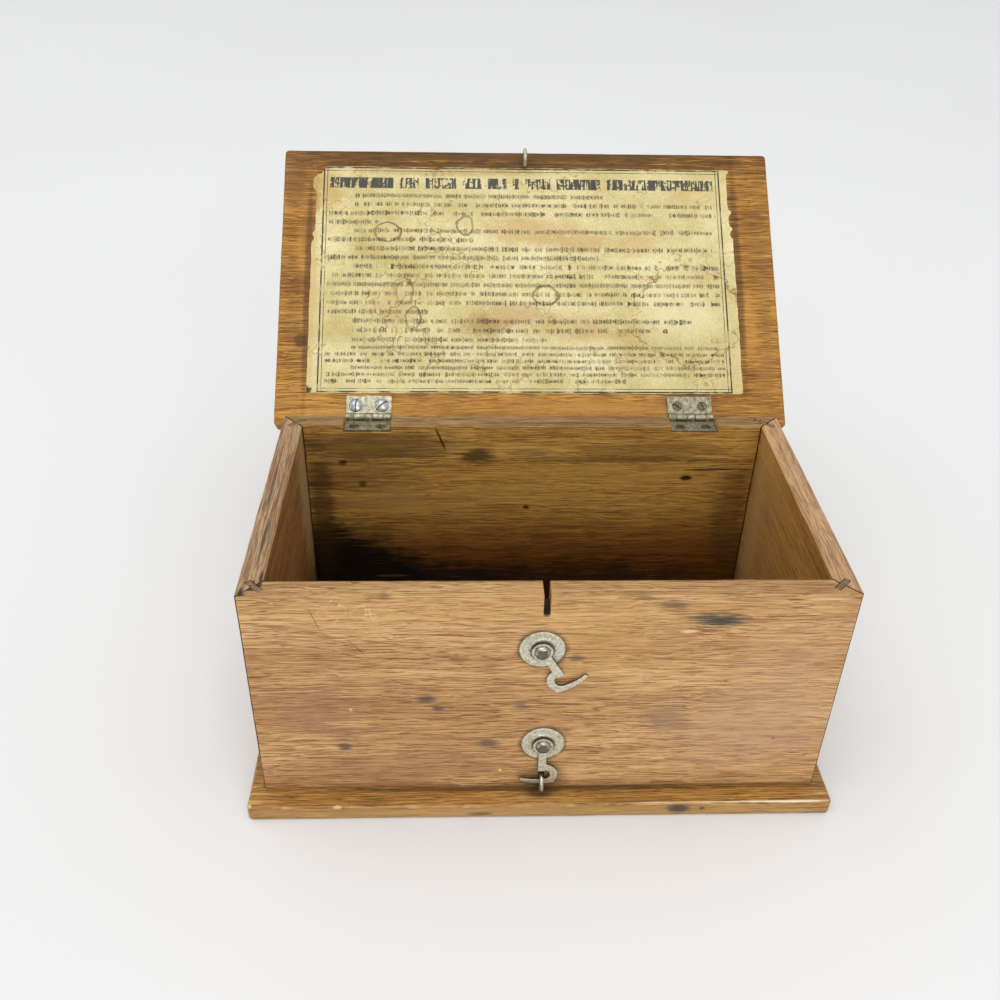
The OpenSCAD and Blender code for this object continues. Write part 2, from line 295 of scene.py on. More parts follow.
def worn_edges(board, middle, half, width, shade, amount):
    """Lightens or darkens a board's arrises: middle and half size in millimetres."""
    tree = board["tree"]
    off = add(tree, "VectorMath", [board["at"], middle], operation="SUBTRACT")
    off = add(tree, "VectorMath", [off], operation="ABSOLUTE")
    off = add(tree, "VectorMath", [half, off], operation="SUBTRACT")
    x, y, z = add(tree, "SeparateXYZ", [off]).outputs
    low = add(tree, "Math", [x, y], operation="MINIMUM")
    high = add(tree, "Math", [x, y], operation="MAXIMUM")
    high = add(tree, "Math", [high, z], operation="MINIMUM")
    second = add(tree, "Math", [low, high], operation="MAXIMUM")
    blotch = board["layers"]["blotch"]
    uneven = add(tree, "Math", [blotch, 2.4 * width, second], operation="MULTIPLY_ADD")
    mask = add(
        tree,
        "MapRange",
        [uneven, 2.1 * width, 1.0 * width, 0, amount],
        interpolation_type="SMOOTHSTEP",
    )
    tint(board, mask, shade)


def varnish(board, smooth, dull, relief=0.12, gloss=0.3):
    """Old shellac, thin enough that the open grain still shows in its gloss."""
    tree = board["tree"]
    rough = add(tree, "MapRange", [board["layers"]["blotch"], 0.35, 0.65, smooth, dull])
    rough = add(tree, "Math", [board["pores"], 0.25, rough], operation="MULTIPLY_ADD")
    height = add(tree, "Math", [board["pores"], -1.0, 1.0], operation="MULTIPLY_ADD")
    height = add(tree, "Math", [board["layers"]["fibre"], 0.35, height], operation="MULTIPLY_ADD")
    bump = add(tree, "Bump", {"Strength": 0.6, "Distance": relief / 1000, "Height": height})
    shader = add(
        tree,
        "BsdfPrincipled",
        {
            "Base Color": board["colour"],
            "Roughness": rough,
            "IOR": 1.5,
            "Specular IOR Level": gloss,
            "Normal": bump,
        },
    )
    add(tree, "OutputMaterial", [shader])
    return board["material"]


base = block("oak_base_board", (-BASE_X, -BASE_Y, 0), (BASE_X, BASE_Y, BASE_TOP))
pick("EDGE", lambda middle, way: abs(way.z) > 0.9)
bevel(2, 6)
bevel_sharp(1.2, 4, 60)
slices(0, -BASE_X, BASE_X, 6)
slices(1, -BASE_Y, BASE_Y, 7)
weather(base, 0.35, 14)
base_oak = oak(
    "shellacked_oak_base", (3, 8, 5), ("#7f5827", "#a67839", "#cc9e59"), "#5c3c18", 0.5
)
# under the case and inside it the board is dark with old grease, and the near-black patch at the
# back left inside is painted shade
stain(base_oak, (0, 4, BASE_TOP), (118, 66, 4), "#4a3116", 0.75, 0.3)
stain(base_oak, (-60, 20, BASE_TOP), (40, 30, 4), "#20150b", 0.8)
worn_edges(base_oak, (0, 0, BASE_TOP / 2), (BASE_X, BASE_Y, BASE_TOP / 2), 0.9, "#c79c66", 0.75)
# the front edge: rubbed pale, then bare wood on the arris, bruises, small nicks, a dark patch round
# the foot of the lower eye, and a line of painted shade along the foot of the front wall
for place, size, shade, amount, ragged in (
    ((0, -72.9, 3.4), (150, 1.0, 4.6), "#b99258", 0.5, 0.3),
    ((100, -71.9, BASE_TOP), (26, 0.6, 0.6), "#f0dfc0", 0.9, 0.9),
    ((60, -71.9, BASE_TOP), (30, 0.4, 0.4), "#e6cfa2", 0.7, 1.0),
    ((-0.4, -65.2, BASE_TOP), (8, 4.5, 2), "#3b2a18", 0.75, 0.6),
    ((56.6, -72.7, 4.4), (5.8, 3, 3.2), "#3c3733", 0.9, 0.9),
    ((66.2, -72.7, 4.4), (1.4, 2, 1), "#3c2f24", 0.8, 0.9),
    ((-25, -72.7, 2.5), (6, 2, 1.2), "#5c4a36", 0.8, 0.9),
    ((-83.4, -72.4, 6.9), (1.7, 1.4, 0.7), "#dcc698", 0.7, 1.0),
    ((-31, -72.4, 6.6), (2.0, 1.2, 0.7), "#cdaa72", 0.45, 1.3),
    ((-104, -72.4, 6.6), (2.2, 1.2, 0.7), "#cdaa72", 0.45, 1.3),
    ((-52, -72.4, 6.6), (3.0, 1.2, 0.7), "#cdaa72", 0.45, 1.3),
    ((12, -72.4, 6.6), (2.6, 1.2, 0.7), "#cdaa72", 0.45, 1.3),
    ((-119, -71.5, 7.0), (1.2, 1.4, 0.9), "#e4cb9c", 0.7, 0.8),
    # painted shade along the foot of the front wall
    ((0, -64, BASE_TOP), (110, 1.6, 1), "#4b3216", 0.7, 0.5),
):
    stain(base_oak, place, size, shade, amount, ragged)
hand_over(base, "case", ["base_board"], varnish(base_oak, 0.3, 0.5, 0.12, 0.4))


# ---- Walls ----
# Four oak boards, mitred at the corners and glued. The front is slotted for the two screw eyes and
# the back is let in for the hinges. The finish has worn thin, so the wood looks pale and dull, with
# dark open grain and ink bruises, and the rims have gone grey.
HALF_W = 114.3
FRONT, BACK = -63.0, 67.0
FOOT, TOP = 7.42, 109.8
THICK = 9.2
PIN_Y, PIN_Z = 69.0, 108.3
HINGES = {"left": -76.0, "right": 74.4}


def cut_away(piece, cutter, operation="DIFFERENCE"):
    """Cuts one solid from another, or joins it on, and clears it away."""
    choose(piece)
    apply_modifier(piece, "BOOLEAN", object=cutter, operation=operation, solver="EXACT")
    bpy.data.objects.remove(cutter)


def cut_block(piece, low, high, turn=0):
    """Cuts a block's shape out of a piece."""
    choose(piece)
    cut_away(piece, block("saw_cut", low, high, turn))


def trim(x, y, way):
    """Saws off what lies beyond an upright plane through x, y in millimetres."""
    bpy.ops.mesh.select_all(action="SELECT")
    bpy.ops.mesh.bisect(
        plane_co=metres(x, y, 0), plane_no=(*way, 0), use_fill=True, clear_outer=True
    )


SPLINE_X = HALF_W - THICK + 2.9
SPLINE_Y = {-1: FRONT + THICK - 2.9, 1: BACK - THICK + 2.9}


def wall(name, low, high, corners, slots):
    """One mitred wall. Corners are (sx, sy, the way its mitre faces), and slots are cut through."""
    piece = block(name, low, high)
    for slot in slots:
        cut_block(piece, *slot)
    for sx, sy, _ in corners:
        x, y = sx * SPLINE_X, SPLINE_Y[sy]
        cut_block(piece, (x - 4.1, y - 1.3, 0), (x + 4.1, y + 1.3, 120), -45 * sx * sy)
    bpy.ops.object.mode_set(mode="EDIT")
    for sx, sy, way in corners:
        y = FRONT if sy < 0 else BACK
        trim(sx * HALF_W - 0.07 * way[0], y - 0.07 * way[1], way)
        trim(sx * (HALF_W - 0.9), y, (sx, sy))
    pick("EDGE", lambda middle, way: middle.z > TOP - 0.1 and max(abs(way.x), abs(way.y)) > 0.99)
    bevel(0.6, 3)
    bevel_sharp(0.3, 2)
    length = 0 if high[0] - low[0] > 100 else 1
    slices(length, low[length], high[length], 7)
    slices(2, FOOT, TOP, 7)
    weather(piece, 0.3, 11)
    return piece


def face_mask(board, axis, start, end):
    """0 at start and 1 at end, in millimetres along one of the board's own axes."""
    tree = board["tree"]
    part = add(tree, "SeparateXYZ", [board["at"]]).outputs["XYZ"[axis]]
    return add(tree, "MapRange", [part, start, end, 0, 1], interpolation_type="SMOOTHSTEP")


def weathered_rim(board, shade, dirt):
    """The sawn top of a wall has gone greyer than its faces, with dirt in its open grain."""
    tree = board["tree"]
    top = face_mask(board, 2, TOP - 0.9, TOP - 0.1)
    tint(board, top, shade, "MULTIPLY")
    for layer, full_at, amount in (("rings", 0.35, 0.3), ("fibre", 0.32, 0.6)):
        grain = board["layers"][layer]
        grain = add(tree, "MapRange", [grain, 0.45, full_at, 0, amount])
        tint(board, add(tree, "Math", [grain, top], operation="MULTIPLY"), dirt)


def beside(tree, at, point, way):
    """How far off the flat plane is that passes through a point and faces way."""
    off = add(tree, "VectorMath", [at, point], operation="SUBTRACT")
    off = add(tree, "VectorMath", [off, Vector(way).normalized()], operation="DOT_PRODUCT")
    return add(tree, "Math", [off.outputs["Value"]], operation="ABSOLUTE")


def joint_line(board, point, way, shade="#2a1a10", near=None, half=0.03):
    """Dirt in a straight joint or crack, through a point and square to way, where near is 1."""
    tree = board["tree"]
    off = beside(tree, board["at"], point, way)
    uneven = add(tree, "Math", [board["layers"]["blotch"], -0.55, off], operation="MULTIPLY_ADD")
    mask = add(tree, "MapRange", [uneven, half + 0.09, half - 0.09, 0, 0.95])
    if near:
        mask = add(tree, "Math", [mask, near], operation="MULTIPLY")
    tint(board, mask, shade)


front = wall(
    "oak_front_wall",
    (-HALF_W, FRONT, FOOT),
    (HALF_W, FRONT + THICK, TOP),
    [(-1, -1, (-1, 1)), (1, -1, (1, 1))],
    [
        ((-2.9, FRONT - 5, TOP - 9.1), (-0.3, FRONT + 15, TOP + 5)),
        ((-1.5, FRONT - 5, FOOT - 5), (1.1, FRONT + 15, FOOT + 10)),
    ],
)
front_oak = oak(
    "worn_oak_front", (0, 0, 0), ("#a07046", "#be925e", "#d9af7a"), "#6f4723", 0.55
)
tint(front_oak, face_mask(front_oak, 1, FRONT + 8.0, FRONT + 8.9), "#b09868", "MULTIPLY")
# marks on the face: ink and iron bruises, rubbed patches and small bare nicks
for x, z, wide, high, shade, amount in (
    (0.0, 103.0, 108.0, 9.0, "#b78745", 0.32),
    (18.0, 82.0, 30.0, 16.0, "#c4954f", 0.3),
    (63.2, 98.0, 11.0, 4.6, "#423b38", 0.95),
    (56.5, 99.2, 5.5, 1.6, "#5b4a3e", 0.75),
    (44.6, 105.3, 6.5, 2.6, "#6b5342", 0.75),
    (33.9, 108.6, 4.5, 1.2, "#6f5741", 0.6),
    (10.7, 79.5, 3.4, 2.2, "#5e4a3a", 0.75),
    (-46.4, 58.3, 4.8, 2.6, "#54463d", 0.85),
    (-42.3, 53.5, 2.8, 1.7, "#54463d", 0.85),
    (-79.5, 32.3, 3.4, 2.4, "#4f4139", 0.85),
    (-79.0, 41.0, 9.0, 6.0, "#8a6a50", 0.45),
    (-21.6, 33.3, 5.8, 2.8, "#5a4a3e", 0.8),
    (-9.8, 54.4, 4.0, 2.8, "#75604b", 0.75),
    (-33.4, 79.0, 4.4, 1.2, "#7a5c48", 0.5),
    (-60.7, 109.0, 3.0, 1.3, "#5d432c", 0.7),
    (46.7, 47.0, 12.0, 7.5, "#846950", 0.55),
    (93.0, 35.0, 0.9, 1.0, "#4d3827", 0.85),
    (93.8, 80.3, 7.0, 4.0, "#8f6b4b", 0.5),
    (-92.9, 52.5, 20.0, 16.0, "#96694c", 0.45),
    (78.0, 40.0, 34.0, 30.0, "#a88168", 0.4),
    (-60.0, 20.0, 50.0, 12.0, "#9c7450", 0.4),
    (-17.2, 17.6, 0.7, 0.8, "#ecd6aa", 0.8),
    (-76.0, 53.0, 0.8, 0.9, "#dfc290", 0.7),
    (52.0, 92.5, 3.6, 0.8, "#ecca94", 0.75),
    (100.0, 107.8, 9.0, 0.7, "#e2c08a", 0.6),
    (14.0, 101.0, 34.0, 1.0, "#dcb67c", 0.5),
    (92.0, 60.0, 26.0, 40.0, "#caa27a", 0.3),
):
    stain(front_oak, (x, FRONT, z), (wide, 5, high), shade, amount, 1.2, 0.45)
# dirt gathered round the two hook plates, and round the lower eye
for x, z, around, soft in ((-2.6, 84.1, 12, 0.1), (-0.2, 33.3, 12, 0.1), (-0.2, 10.5, 11, 0.5)):
    stain(front_oak, (x, FRONT, z), (around, 5, around), "#4a3723", 0.75, 0.2, soft)
# a rubbed scribble of fine pale scratches near the left end
patch = stain(front_oak, (-72, FRONT, 102), (17, 5, 8), "#cda069", 0.25)
for k in range(2):
    placed = add(
        front_oak["tree"], "Mapping", {0: front_oak["at"], 1: (k, 0, 7 * k), 3: (0.13, 0.13, 0.2)}
    )
    lines = add(front_oak["tree"], "TexNoise", {0: placed, "Scale": 1, "Detail": 1})
    lines = add(front_oak["tree"], "MapRange", [lines, 0.485, 0.515, -1, 1])
    lines = add(front_oak["tree"], "Math", [lines], operation="ABSOLUTE")
    lines = add(front_oak["tree"], "MapRange", [lines, 0.65, 0.1, 0, 2.6])
    lines = add(front_oak["tree"], "Math", [lines, patch], operation="MULTIPLY")
    tint(front_oak, lines, "#ecd09c")
# three dark hair scratches that cross the grain beside it
for x, z, long, way in ((-86.5, 99, 6, (6, 2)), (-72, 85.5, 5.5, (10, 8)), (-58, 68, 3, (3, 6))):
    near = stain(front_oak, (x, FRONT, z), (long, 5, long), "#b08355", 0.12, 0.1)
    near = add(front_oak["tree"], "Math", [near, 5.0], operation="MULTIPLY")
    joint_line(front_oak, (x, FRONT, z), (way[0], 0, way[1]), "#6b4a30", near, 0.0)
# painted shade: the floor and sides of the upper slot, where the lid's eye goes in, are near black
stain(front_oak, (-1.6, -57.5, 100.7), (3.0, 7.4, 2.2), "#120b06", 0.97, 0.1, 0.15)
# painted shade along the wall's foot, where it meets the base board
tint(front_oak, face_mask(front_oak, 2, FOOT + 1.6, FOOT - 0.2), "#5a3f24")
weathered_rim(front_oak, "#e9e9e2", "#85603a")
MIDDLE_Z, HALF_Z = (FOOT + TOP) / 2, (TOP - FOOT) / 2
worn_edges(
    front_oak,
    (0, FRONT + THICK / 2, MIDDLE_Z),
    (HALF_W, THICK / 2, HALF_Z),
    0.55,
    "#d3ac79",
    0.6,
)
for sx in (-1, 1):
    joint_line(front_oak, (sx * HALF_W, FRONT, 0), (sx, 1, 0))
# the left corner has opened, and its crack is black with dirt
for x, y, wide, deep in (
    (-109.5, -58.6, 4.5, 1.0),
    (-106.2, -55.6, 1.2, 3.0),
    (-112.4, -61.6, 2.4, 1.0),
):
    stain(front_oak, (x, y, TOP), (wide, deep, 3), "#2c1c12", 0.9)
hand_over(front, "case", ["front_wall"], varnish(front_oak, 0.42, 0.62))

back = wall(
    "oak_back_wall",
    (-HALF_W, BACK - THICK, FOOT),
    (HALF_W, BACK, TOP),
    [(-1, 1, (-1, -1)), (1, 1, (1, -1))],
    [
        ((x - 10.8, BACK - THICK - 5, PIN_Z - 1.8), (x + 10.8, BACK + 5, TOP + 5))
        for x in HINGES.values()
    ],
)
back_oak = oak("worn_oak_back", (17, 4, 9), ("#8e653e", "#b48a5c", "#d2aa78"), "#74502f", 0.6)
# the inner face is stained olive brown, and painted shade darkens it towards the bottom, where the
# case's walls shade its inside
within = face_mask(back_oak, 1, BACK - THICK + 1.2, BACK - THICK + 0.3)
tint(back_oak, within, "#faf2ae", "MULTIPLY")
painted_shade_low = add(
    back_oak["tree"],
    "Math",
    [within, face_mask(back_oak, 2, 74, 30)],
    operation="MULTIPLY",
)
tint(back_oak, painted_shade_low, "#a08660", "MULTIPLY")
INNER = BACK - THICK
for x, z, wide, high, shade, amount in (
    (30, 84, 60, 6, "#b58d42", 0.45),
    (-10, 73, 44, 5, "#b08a44", 0.45),
    (-70, 70, 30, 8, "#a98a4c", 0.35),
    (40, 92, 70, 2.0, "#4f3715", 0.5),
    (55, 97, 46, 6, "#6b4f24", 0.5),
    (-75, 99, 50, 10, "#543d1c", 0.65),
    (-84, 84, 34, 12, "#5a4320", 0.45),
    # painted shade: near-black patches low down and to the left, for the shadow inside the case
    (-90, 32, 30, 26, "#050403", 0.97),
    (-66, 22, 30, 18, "#080504", 0.9),
    (-60, 20, 60, 15, "#0c0705", 0.9),
    (20, 14, 110, 20, "#1d100a", 0.8),
    # painted shade down the left inner corner
    (-99, 60, 7, 44, "#3a2510", 0.7),
    (-87.9, 90.3, 2.5, 1.7, "#26170a", 0.85),
    (-79.5, 78.3, 2.5, 1.9, "#2b1b0c", 0.75),
    (-67.8, 23.3, 9, 0.9, "#6b4526", 0.8),
    (-26, 93.5, 11, 5.0, "#3f290f", 0.85),
    (-2, 96, 14, 2.4, "#8f7448", 0.6),
    (-36, 98, 6, 2.4, "#9a7e4c", 0.6),
    (-2, 65, 1.8, 1.4, "#241608", 0.85),
    (73.5, 81.7, 3.2, 1.6, "#160d06", 0.95),
    (88, 86.5, 17, 0.7, "#2d1c0c", 0.9),
    (97, 55, 10, 40, "#4b3215", 0.5),
):
    stain(back_oak, (x, INNER, z), (wide, 3, high), shade, amount)
near = stain(back_oak, (-42.5, INNER, 103), (7, 3, 7), "#5a3f1c", 0.15, 0.2)
near = add(back_oak["tree"], "Math", [near, 6.0], operation="MULTIPLY")
joint_line(back_oak, (-42.5, INNER, 103), (11, 0, 4.2), "#2a190b", near, 0.25)
weathered_rim(back_oak, "#c9cabf", "#5a422a")
# scuffs and a water mark on the outer face
for x, z, wide, high, shade, amount in (
    (62, 82, 9, 3.2, "#5b4b3f", 0.75),
    (-40, 40, 40, 22, "#8f6c4c", 0.4),
    (-84, 72, 4, 2.2, "#54453a", 0.75),
    (18, 26, 6, 2.0, "#5d4c3d", 0.7),
    (30, 60, 46, 20, "#cba87c", 0.35),
    (-20, 98, 14, 1.0, "#e0bf8c", 0.6),
):
    stain(back_oak, (x, BACK, z), (wide, 3, high), shade, amount, 1.2, 0.45)
# painted shade along the wall's foot, where it meets the base board
tint(back_oak, face_mask(back_oak, 2, FOOT + 1.6, FOOT - 0.2), "#5a3f24")
stain(back_oak, (103.5, 64.1, TOP), (0.9, 0.9, 2), "#1c130c", 0.95, 0.3)
stain(back_oak, (105.5, 60.5, TOP), (4.0, 0.5, 2), "#3a291a", 0.9, 0.5)
worn_edges(
    back_oak,
    (0, BACK - THICK / 2, MIDDLE_Z),
    (HALF_W, THICK / 2, HALF_Z),
    0.45,
    "#b8996c",
    0.5,
)
for sx in (-1, 1):
    joint_line(back_oak, (sx * HALF_W, BACK, 0), (sx, -1, 0))
hand_over(back, "case", ["back_wall"], varnish(back_oak, 0.4, 0.62))

for side, sx in (("left", -1), ("right", 1)):
    outside, within_x = sx * HALF_W, sx * (HALF_W - THICK)
    piece = wall(
        f"oak_{side}_wall",
        (min(outside, within_x), FRONT, FOOT),
        (max(outside, within_x), BACK, TOP),
        [(sx, sy, (-sx, sy)) for sy in (-1, 1)],
        [],
    )
    # local X runs along the wall and local Y from right to left
    side_oak = oak(
        f"worn_oak_{side}",
        (5 + 9 * sx, 2, 31),
        ("#946e4b", "#b18960", "#c9a478"),
        "#7d5a3d",
        0.6,
        turn=(0, 0, 90),
    )
    inner_face = face_mask(side_oak, 1, -within_x - sx * 1.2, -within_x - sx * 0.3)
    tint(side_oak, inner_face, "#fbe9a8" if sx > 0 else "#d6c49e", "MULTIPLY")
    # painted shade: darker low down on the inner face, where the case shades its own inside
    stain(side_oak, (40, -within_x, 18), (70, 3, 24), "#24160c", 0.7 - 0.1 * sx)
    if sx > 0:
        # painted light: paler patches near the back corner, where the light falls on the inner face
        stain(side_oak, (46, -within_x, 62), (13, 3, 55), "#cba56c", 0.65, 1.2, 0.6)
        stain(side_oak, (30, -within_x, 66), (26, 3, 60), "#b48c56", 0.35)
    else:
        stain(side_oak, (50, -within_x, 76), (14, 3, 50), "#c4a676", 0.75, 1.2, 0.6)
        for x, y, wide, deep in (
            (-60.5, 112.4, 3.5, 1.0),
            (-55.8, 108.6, 3.5, 1.2),
            (-52, 106.2, 4, 0.7),
        ):
            stain(side_oak, (x, y, TOP), (wide, deep, 3), "#2c1c12", 0.9)
        stain(side_oak, (-30, 109, TOP), (18, 0.8, 2), "#4a3423", 0.8)
        stain(side_oak, (10, 111, TOP), (24, 0.7, 2), "#4a3423", 0.7)
    weathered_rim(side_oak, "#eaf0fa" if sx < 0 else "#ffffff", "#5b4431" if sx < 0 else "#8f7355")
    # scuffs and a bruise on the outer face
    for x, z, wide, high, shade, amount in (
        (-34, 84, 6, 2.6, "#5a4a3e", 0.7),
        (20, 30, 26, 12, "#8a674c", 0.45),
        (44, 66, 4, 1.8, "#54453a", 0.7),
        (-20, 52, 30, 18, "#c9a478", 0.35),
        (8, 96, 9, 0.9, "#e0bf8c", 0.6),
    ):
        stain(side_oak, (sx * x, -outside, z), (wide, 3, high), shade, amount, 1.2, 0.45)
    # painted shade along the wall's foot, where it meets the base board
    tint(side_oak, face_mask(side_oak, 2, FOOT + 1.6, FOOT - 0.2), "#5a3f24")
    worn_edges(
        side_oak,
        (2, -sx * (HALF_W - THICK / 2), MIDDLE_Z),
        (65, THICK / 2, HALF_Z),
        0.5,
        "#c8aa80",
        0.5,
    )
    for sy in (-1, 1):
        joint_line(side_oak, (FRONT if sy < 0 else BACK, -sx * HALF_W, 0), (-sy, -sx, 0))
    hand_over(piece, "case", [f"{side}_wall"], varnish(side_oak, 0.42, 0.62))


# ---- Corner splines and dowels ----
# A loose oak tongue is glued into a groove across each mitre. Its end grain has taken up dirt and
# shows dark and dull on top of the corner. Two dowels at the back locate the case on its base.
spline_oak = oak(
    "end_grain_oak", (1, 2, 3), ("#6f553c", "#8a6c4e", "#a3835f"), "#33231a", turn=(0, 90, 0)
)
spline_material = varnish(spline_oak, 0.55, 0.7)
for side, sx in (("left", -1), ("right", 1)):
    for end, sy in (("front", -1), ("back", 1)):
        x, y = sx * SPLINE_X, SPLINE_Y[sy]
        tongue = block(
            f"oak_{end}_{side}_spline",
            (x - 3.9, y - 1.1, FOOT),
            (x + 3.9, y + 1.1, TOP - 0.25),
            -45 * sx * sy,
        )
        bevel_sharp(0.25, 2)
        slices(2, FOOT, TOP, 12)
        weather(tongue, 0.2, 5)
        hand_over(tongue, "case", [f"{end}_{side}_spline"], spline_material)
coat(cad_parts["locating_dowels"], spline_material)


# ---- Lid ----
# One oak board, rounded like the base and finished in thicker shellac, which gives it a deep amber
# colour and the most even shine of all the boards. It is shaped closed over the case and then
# swung open on its hinge pins, and so is everything that is fixed to it.
LID_UNDER, LID_TOP = 110.1, 118.1
LID_FRONT, LID_REAR = -70.3, 72.75
OPEN = 138
OPENED = (
    Matrix.Translation(metres(0, PIN_Y, PIN_Z))
    @ Matrix.Rotation(math.radians(-OPEN), 4, "X")
    @ Matrix.Translation(metres(0, -PIN_Y, -PIN_Z))
)


def swing_open(piece):
    """Turns a piece shaped on the closed lid about the hinge pins, and its mesh keeps the turn."""
    choose(piece)
    piece.matrix_world = OPENED
    bpy.ops.object.transform_apply(location=True, rotation=True, scale=True)


def on_lid(x, s, depth=0.0):
    """A place on the lid's inner face, s millimetres from its rear edge, seen from the pins."""
    return (x, LID_REAR - s - PIN_Y, LID_UNDER - PIN_Z + depth)


lid = block("oak_lid_board", (-120, LID_FRONT, LID_UNDER), (120, LID_REAR, LID_TOP))
pick("EDGE", lambda middle, way: abs(way.z) > 0.9)
bevel(2, 6)
bevel_sharp(1.2, 4, 60)
slices(0, -120, 120, 6)
slices(1, LID_FRONT, LID_REAR, 7)
weather(lid, 0.3, 13)
swing_open(lid)
lid_oak = oak(
    "shellacked_oak_lid",
    (41, 13, 7),
    ("#774a18", "#a2702c", "#ca9542"),
    "#54340f",
    0.35,
    (0, PIN_Y, PIN_Z),
    (-OPEN, 0, 0),
)
for x, s, wide, long, shade, amount in (
    (0, 143, 150, 10.5, "#51350e", 0.9),
    (-80, 141, 40, 12, "#583910", 0.6),
    (-114, 128, 8, 22, "#6e4a22", 0.6),
    (114, 70, 4, 60, "#8a6236", 0.4),
    (-109, 42.3, 3.6, 4.6, "#4a2d12", 0.8),
    (-108, 90, 6, 18, "#c08a42", 0.4),
    (-113, 60, 5, 30, "#6b441c", 0.3),
    (-106, 100, 5, 24, "#6e4a22", 0.4),
    (110, 105, 8, 10, "#6b441c", 0.45),
    (106, 50, 4, 20, "#c8924a", 0.4),
    (30, 9, 36, 2.2, "#d3a04f", 0.5),
    (-30, 6, 30, 1.6, "#6e471b", 0.5),
    (0, 8, 118, 7, "#a87632", 0.5),
    (76, 12, 17, 5, "#5d4020", 0.6),
    (-95, 6, 20, 3, "#c99a55", 0.4),
    (112, 25, 6, 14, "#9a6a34", 0.5),
):
    stain(lid_oak, on_lid(x, s), (wide, long, 3), shade, amount)
# dirt along the edges of the pasted sheet, then rings and scuffs on the lid's top
for x, s, wide, long in ((101.8, 80, 2.8, 70), (-106.6, 70, 2.2, 70), (0, 135.3, 125, 2.2)):
    stain(lid_oak, on_lid(x, s), (wide, long, 3), "#4f3314", 0.65, 0.6)
for x, s, wide, long, shade, amount in (
    (-46, 92, 26, 22, "#6d4a20", 0.35),
    (58, 50, 34, 16, "#cf9f58", 0.35),
    (30, 112, 8, 3.0, "#4a3118", 0.7),
    (-82, 40, 5, 2.4, "#41301e", 0.7),
    (84, 104, 12, 1.0, "#e3c08a", 0.6),
    (-10, 24, 18, 0.9, "#e3c08a", 0.5),
):
    stain(lid_oak, on_lid(x, s, 8), (wide, long, 3), shade, amount, 1.1)
worn_edges(
    lid_oak,
    (0, (LID_FRONT + LID_REAR) / 2 - PIN_Y, (LID_UNDER + LID_TOP) / 2 - PIN_Z),
    (120, 71.5, 4),
    0.7,
    "#8f6a3e",
    0.7,
)
hand_over(lid, "lid", ["lid_board"], varnish(lid_oak, 0.34, 0.52, 0.12, 0.22))


# ---- Printed sheet ----
# Rag paper pasted inside the lid: matt, gone cream with brown damp marks, cockled, and torn at its
# front left corner. It has a double-ruled border and rows of broken marks that spell nothing.
SHEET_X = (-106.2, 101.4)
SHEET_S = (15.2, 134.7)
bpy.ops.mesh.primitive_grid_add(
    x_subdivisions=136,
    y_subdivisions=80,
    size=1,
    location=metres(sum(SHEET_X) / 2, LID_REAR - sum(SHEET_S) / 2, LID_UNDER - 0.06),
    rotation=(math.pi, 0, 0),
)
bpy.context.active_object.scale = metres(SHEET_X[1] - SHEET_X[0], SHEET_S[1] - SHEET_S[0], 1000)
sheet = opened_up("printed_paper_sheet")


def torn(middle, way):
    """True where the corner and a few places along the margin are missing."""
    x, s = middle.x, LID_REAR - middle.y
    rag = noise.noise(Vector((x * 0.22, s * 0.22, 1.7))) * 2.4
    corner = s + rag - 0.8 * (x + 102) > 131.5 and x + rag < -97.5
    margin = x + rag * 0.6 < -104.9 and 95 < s + rag < 122
    nick = s + rag * 0.5 > 134.3 and -70 < x < -44
    frayed = x + rag * 0.8 > 100.2 and 98 < s < 131
    return corner or margin or nick or frayed


pick("FACE", torn)
bpy.ops.mesh.delete(type="FACE")
bpy.ops.mesh.select_mode(type="VERT")
bpy.ops.mesh.select_non_manifold()
bpy.ops.mesh.vertices_smooth(factor=0.5, repeat=4)
shape = bmesh.from_edit_mesh(sheet.data)
for vertex in shape.verts:
    if vertex.is_boundary:
        place = vertex.co * 260
        aside = noise.noise(place), noise.noise(place + Vector((31, 17, 5))), 0
        vertex.co += Vector(aside) * 0.00035
bmesh.update_edit_mesh(sheet.data)
bpy.ops.object.mode_set(mode="OBJECT")
wrinkles = bpy.data.textures.new("paper.wrinkles", "CLOUDS")
wrinkles.noise_scale = 0.009
wrinkles.noise_depth = 2
apply_modifier(
    sheet, "DISPLACE", texture=wrinkles, direction="Z", strength=-0.00022, mid_level=0.15
)
apply_modifier(sheet, "SOLIDIFY", thickness=0.00008, offset=0)
swing_open(sheet)

paper, tree = bare_material("aged_rag_paper")
# x and s in millimetres: s grows from the sheet's foot, by the hinges, to its heading
at = millimetres_from(tree, (0, PIN_Y, PIN_Z), (-OPEN, 0, 0), (0.001, -0.001, 0.001))
at = add(tree, "VectorMath", [at, (0, LID_REAR - PIN_Y, 0)], operation="ADD")
x, s = add(tree, "SeparateXYZ", [at]).outputs[:2]
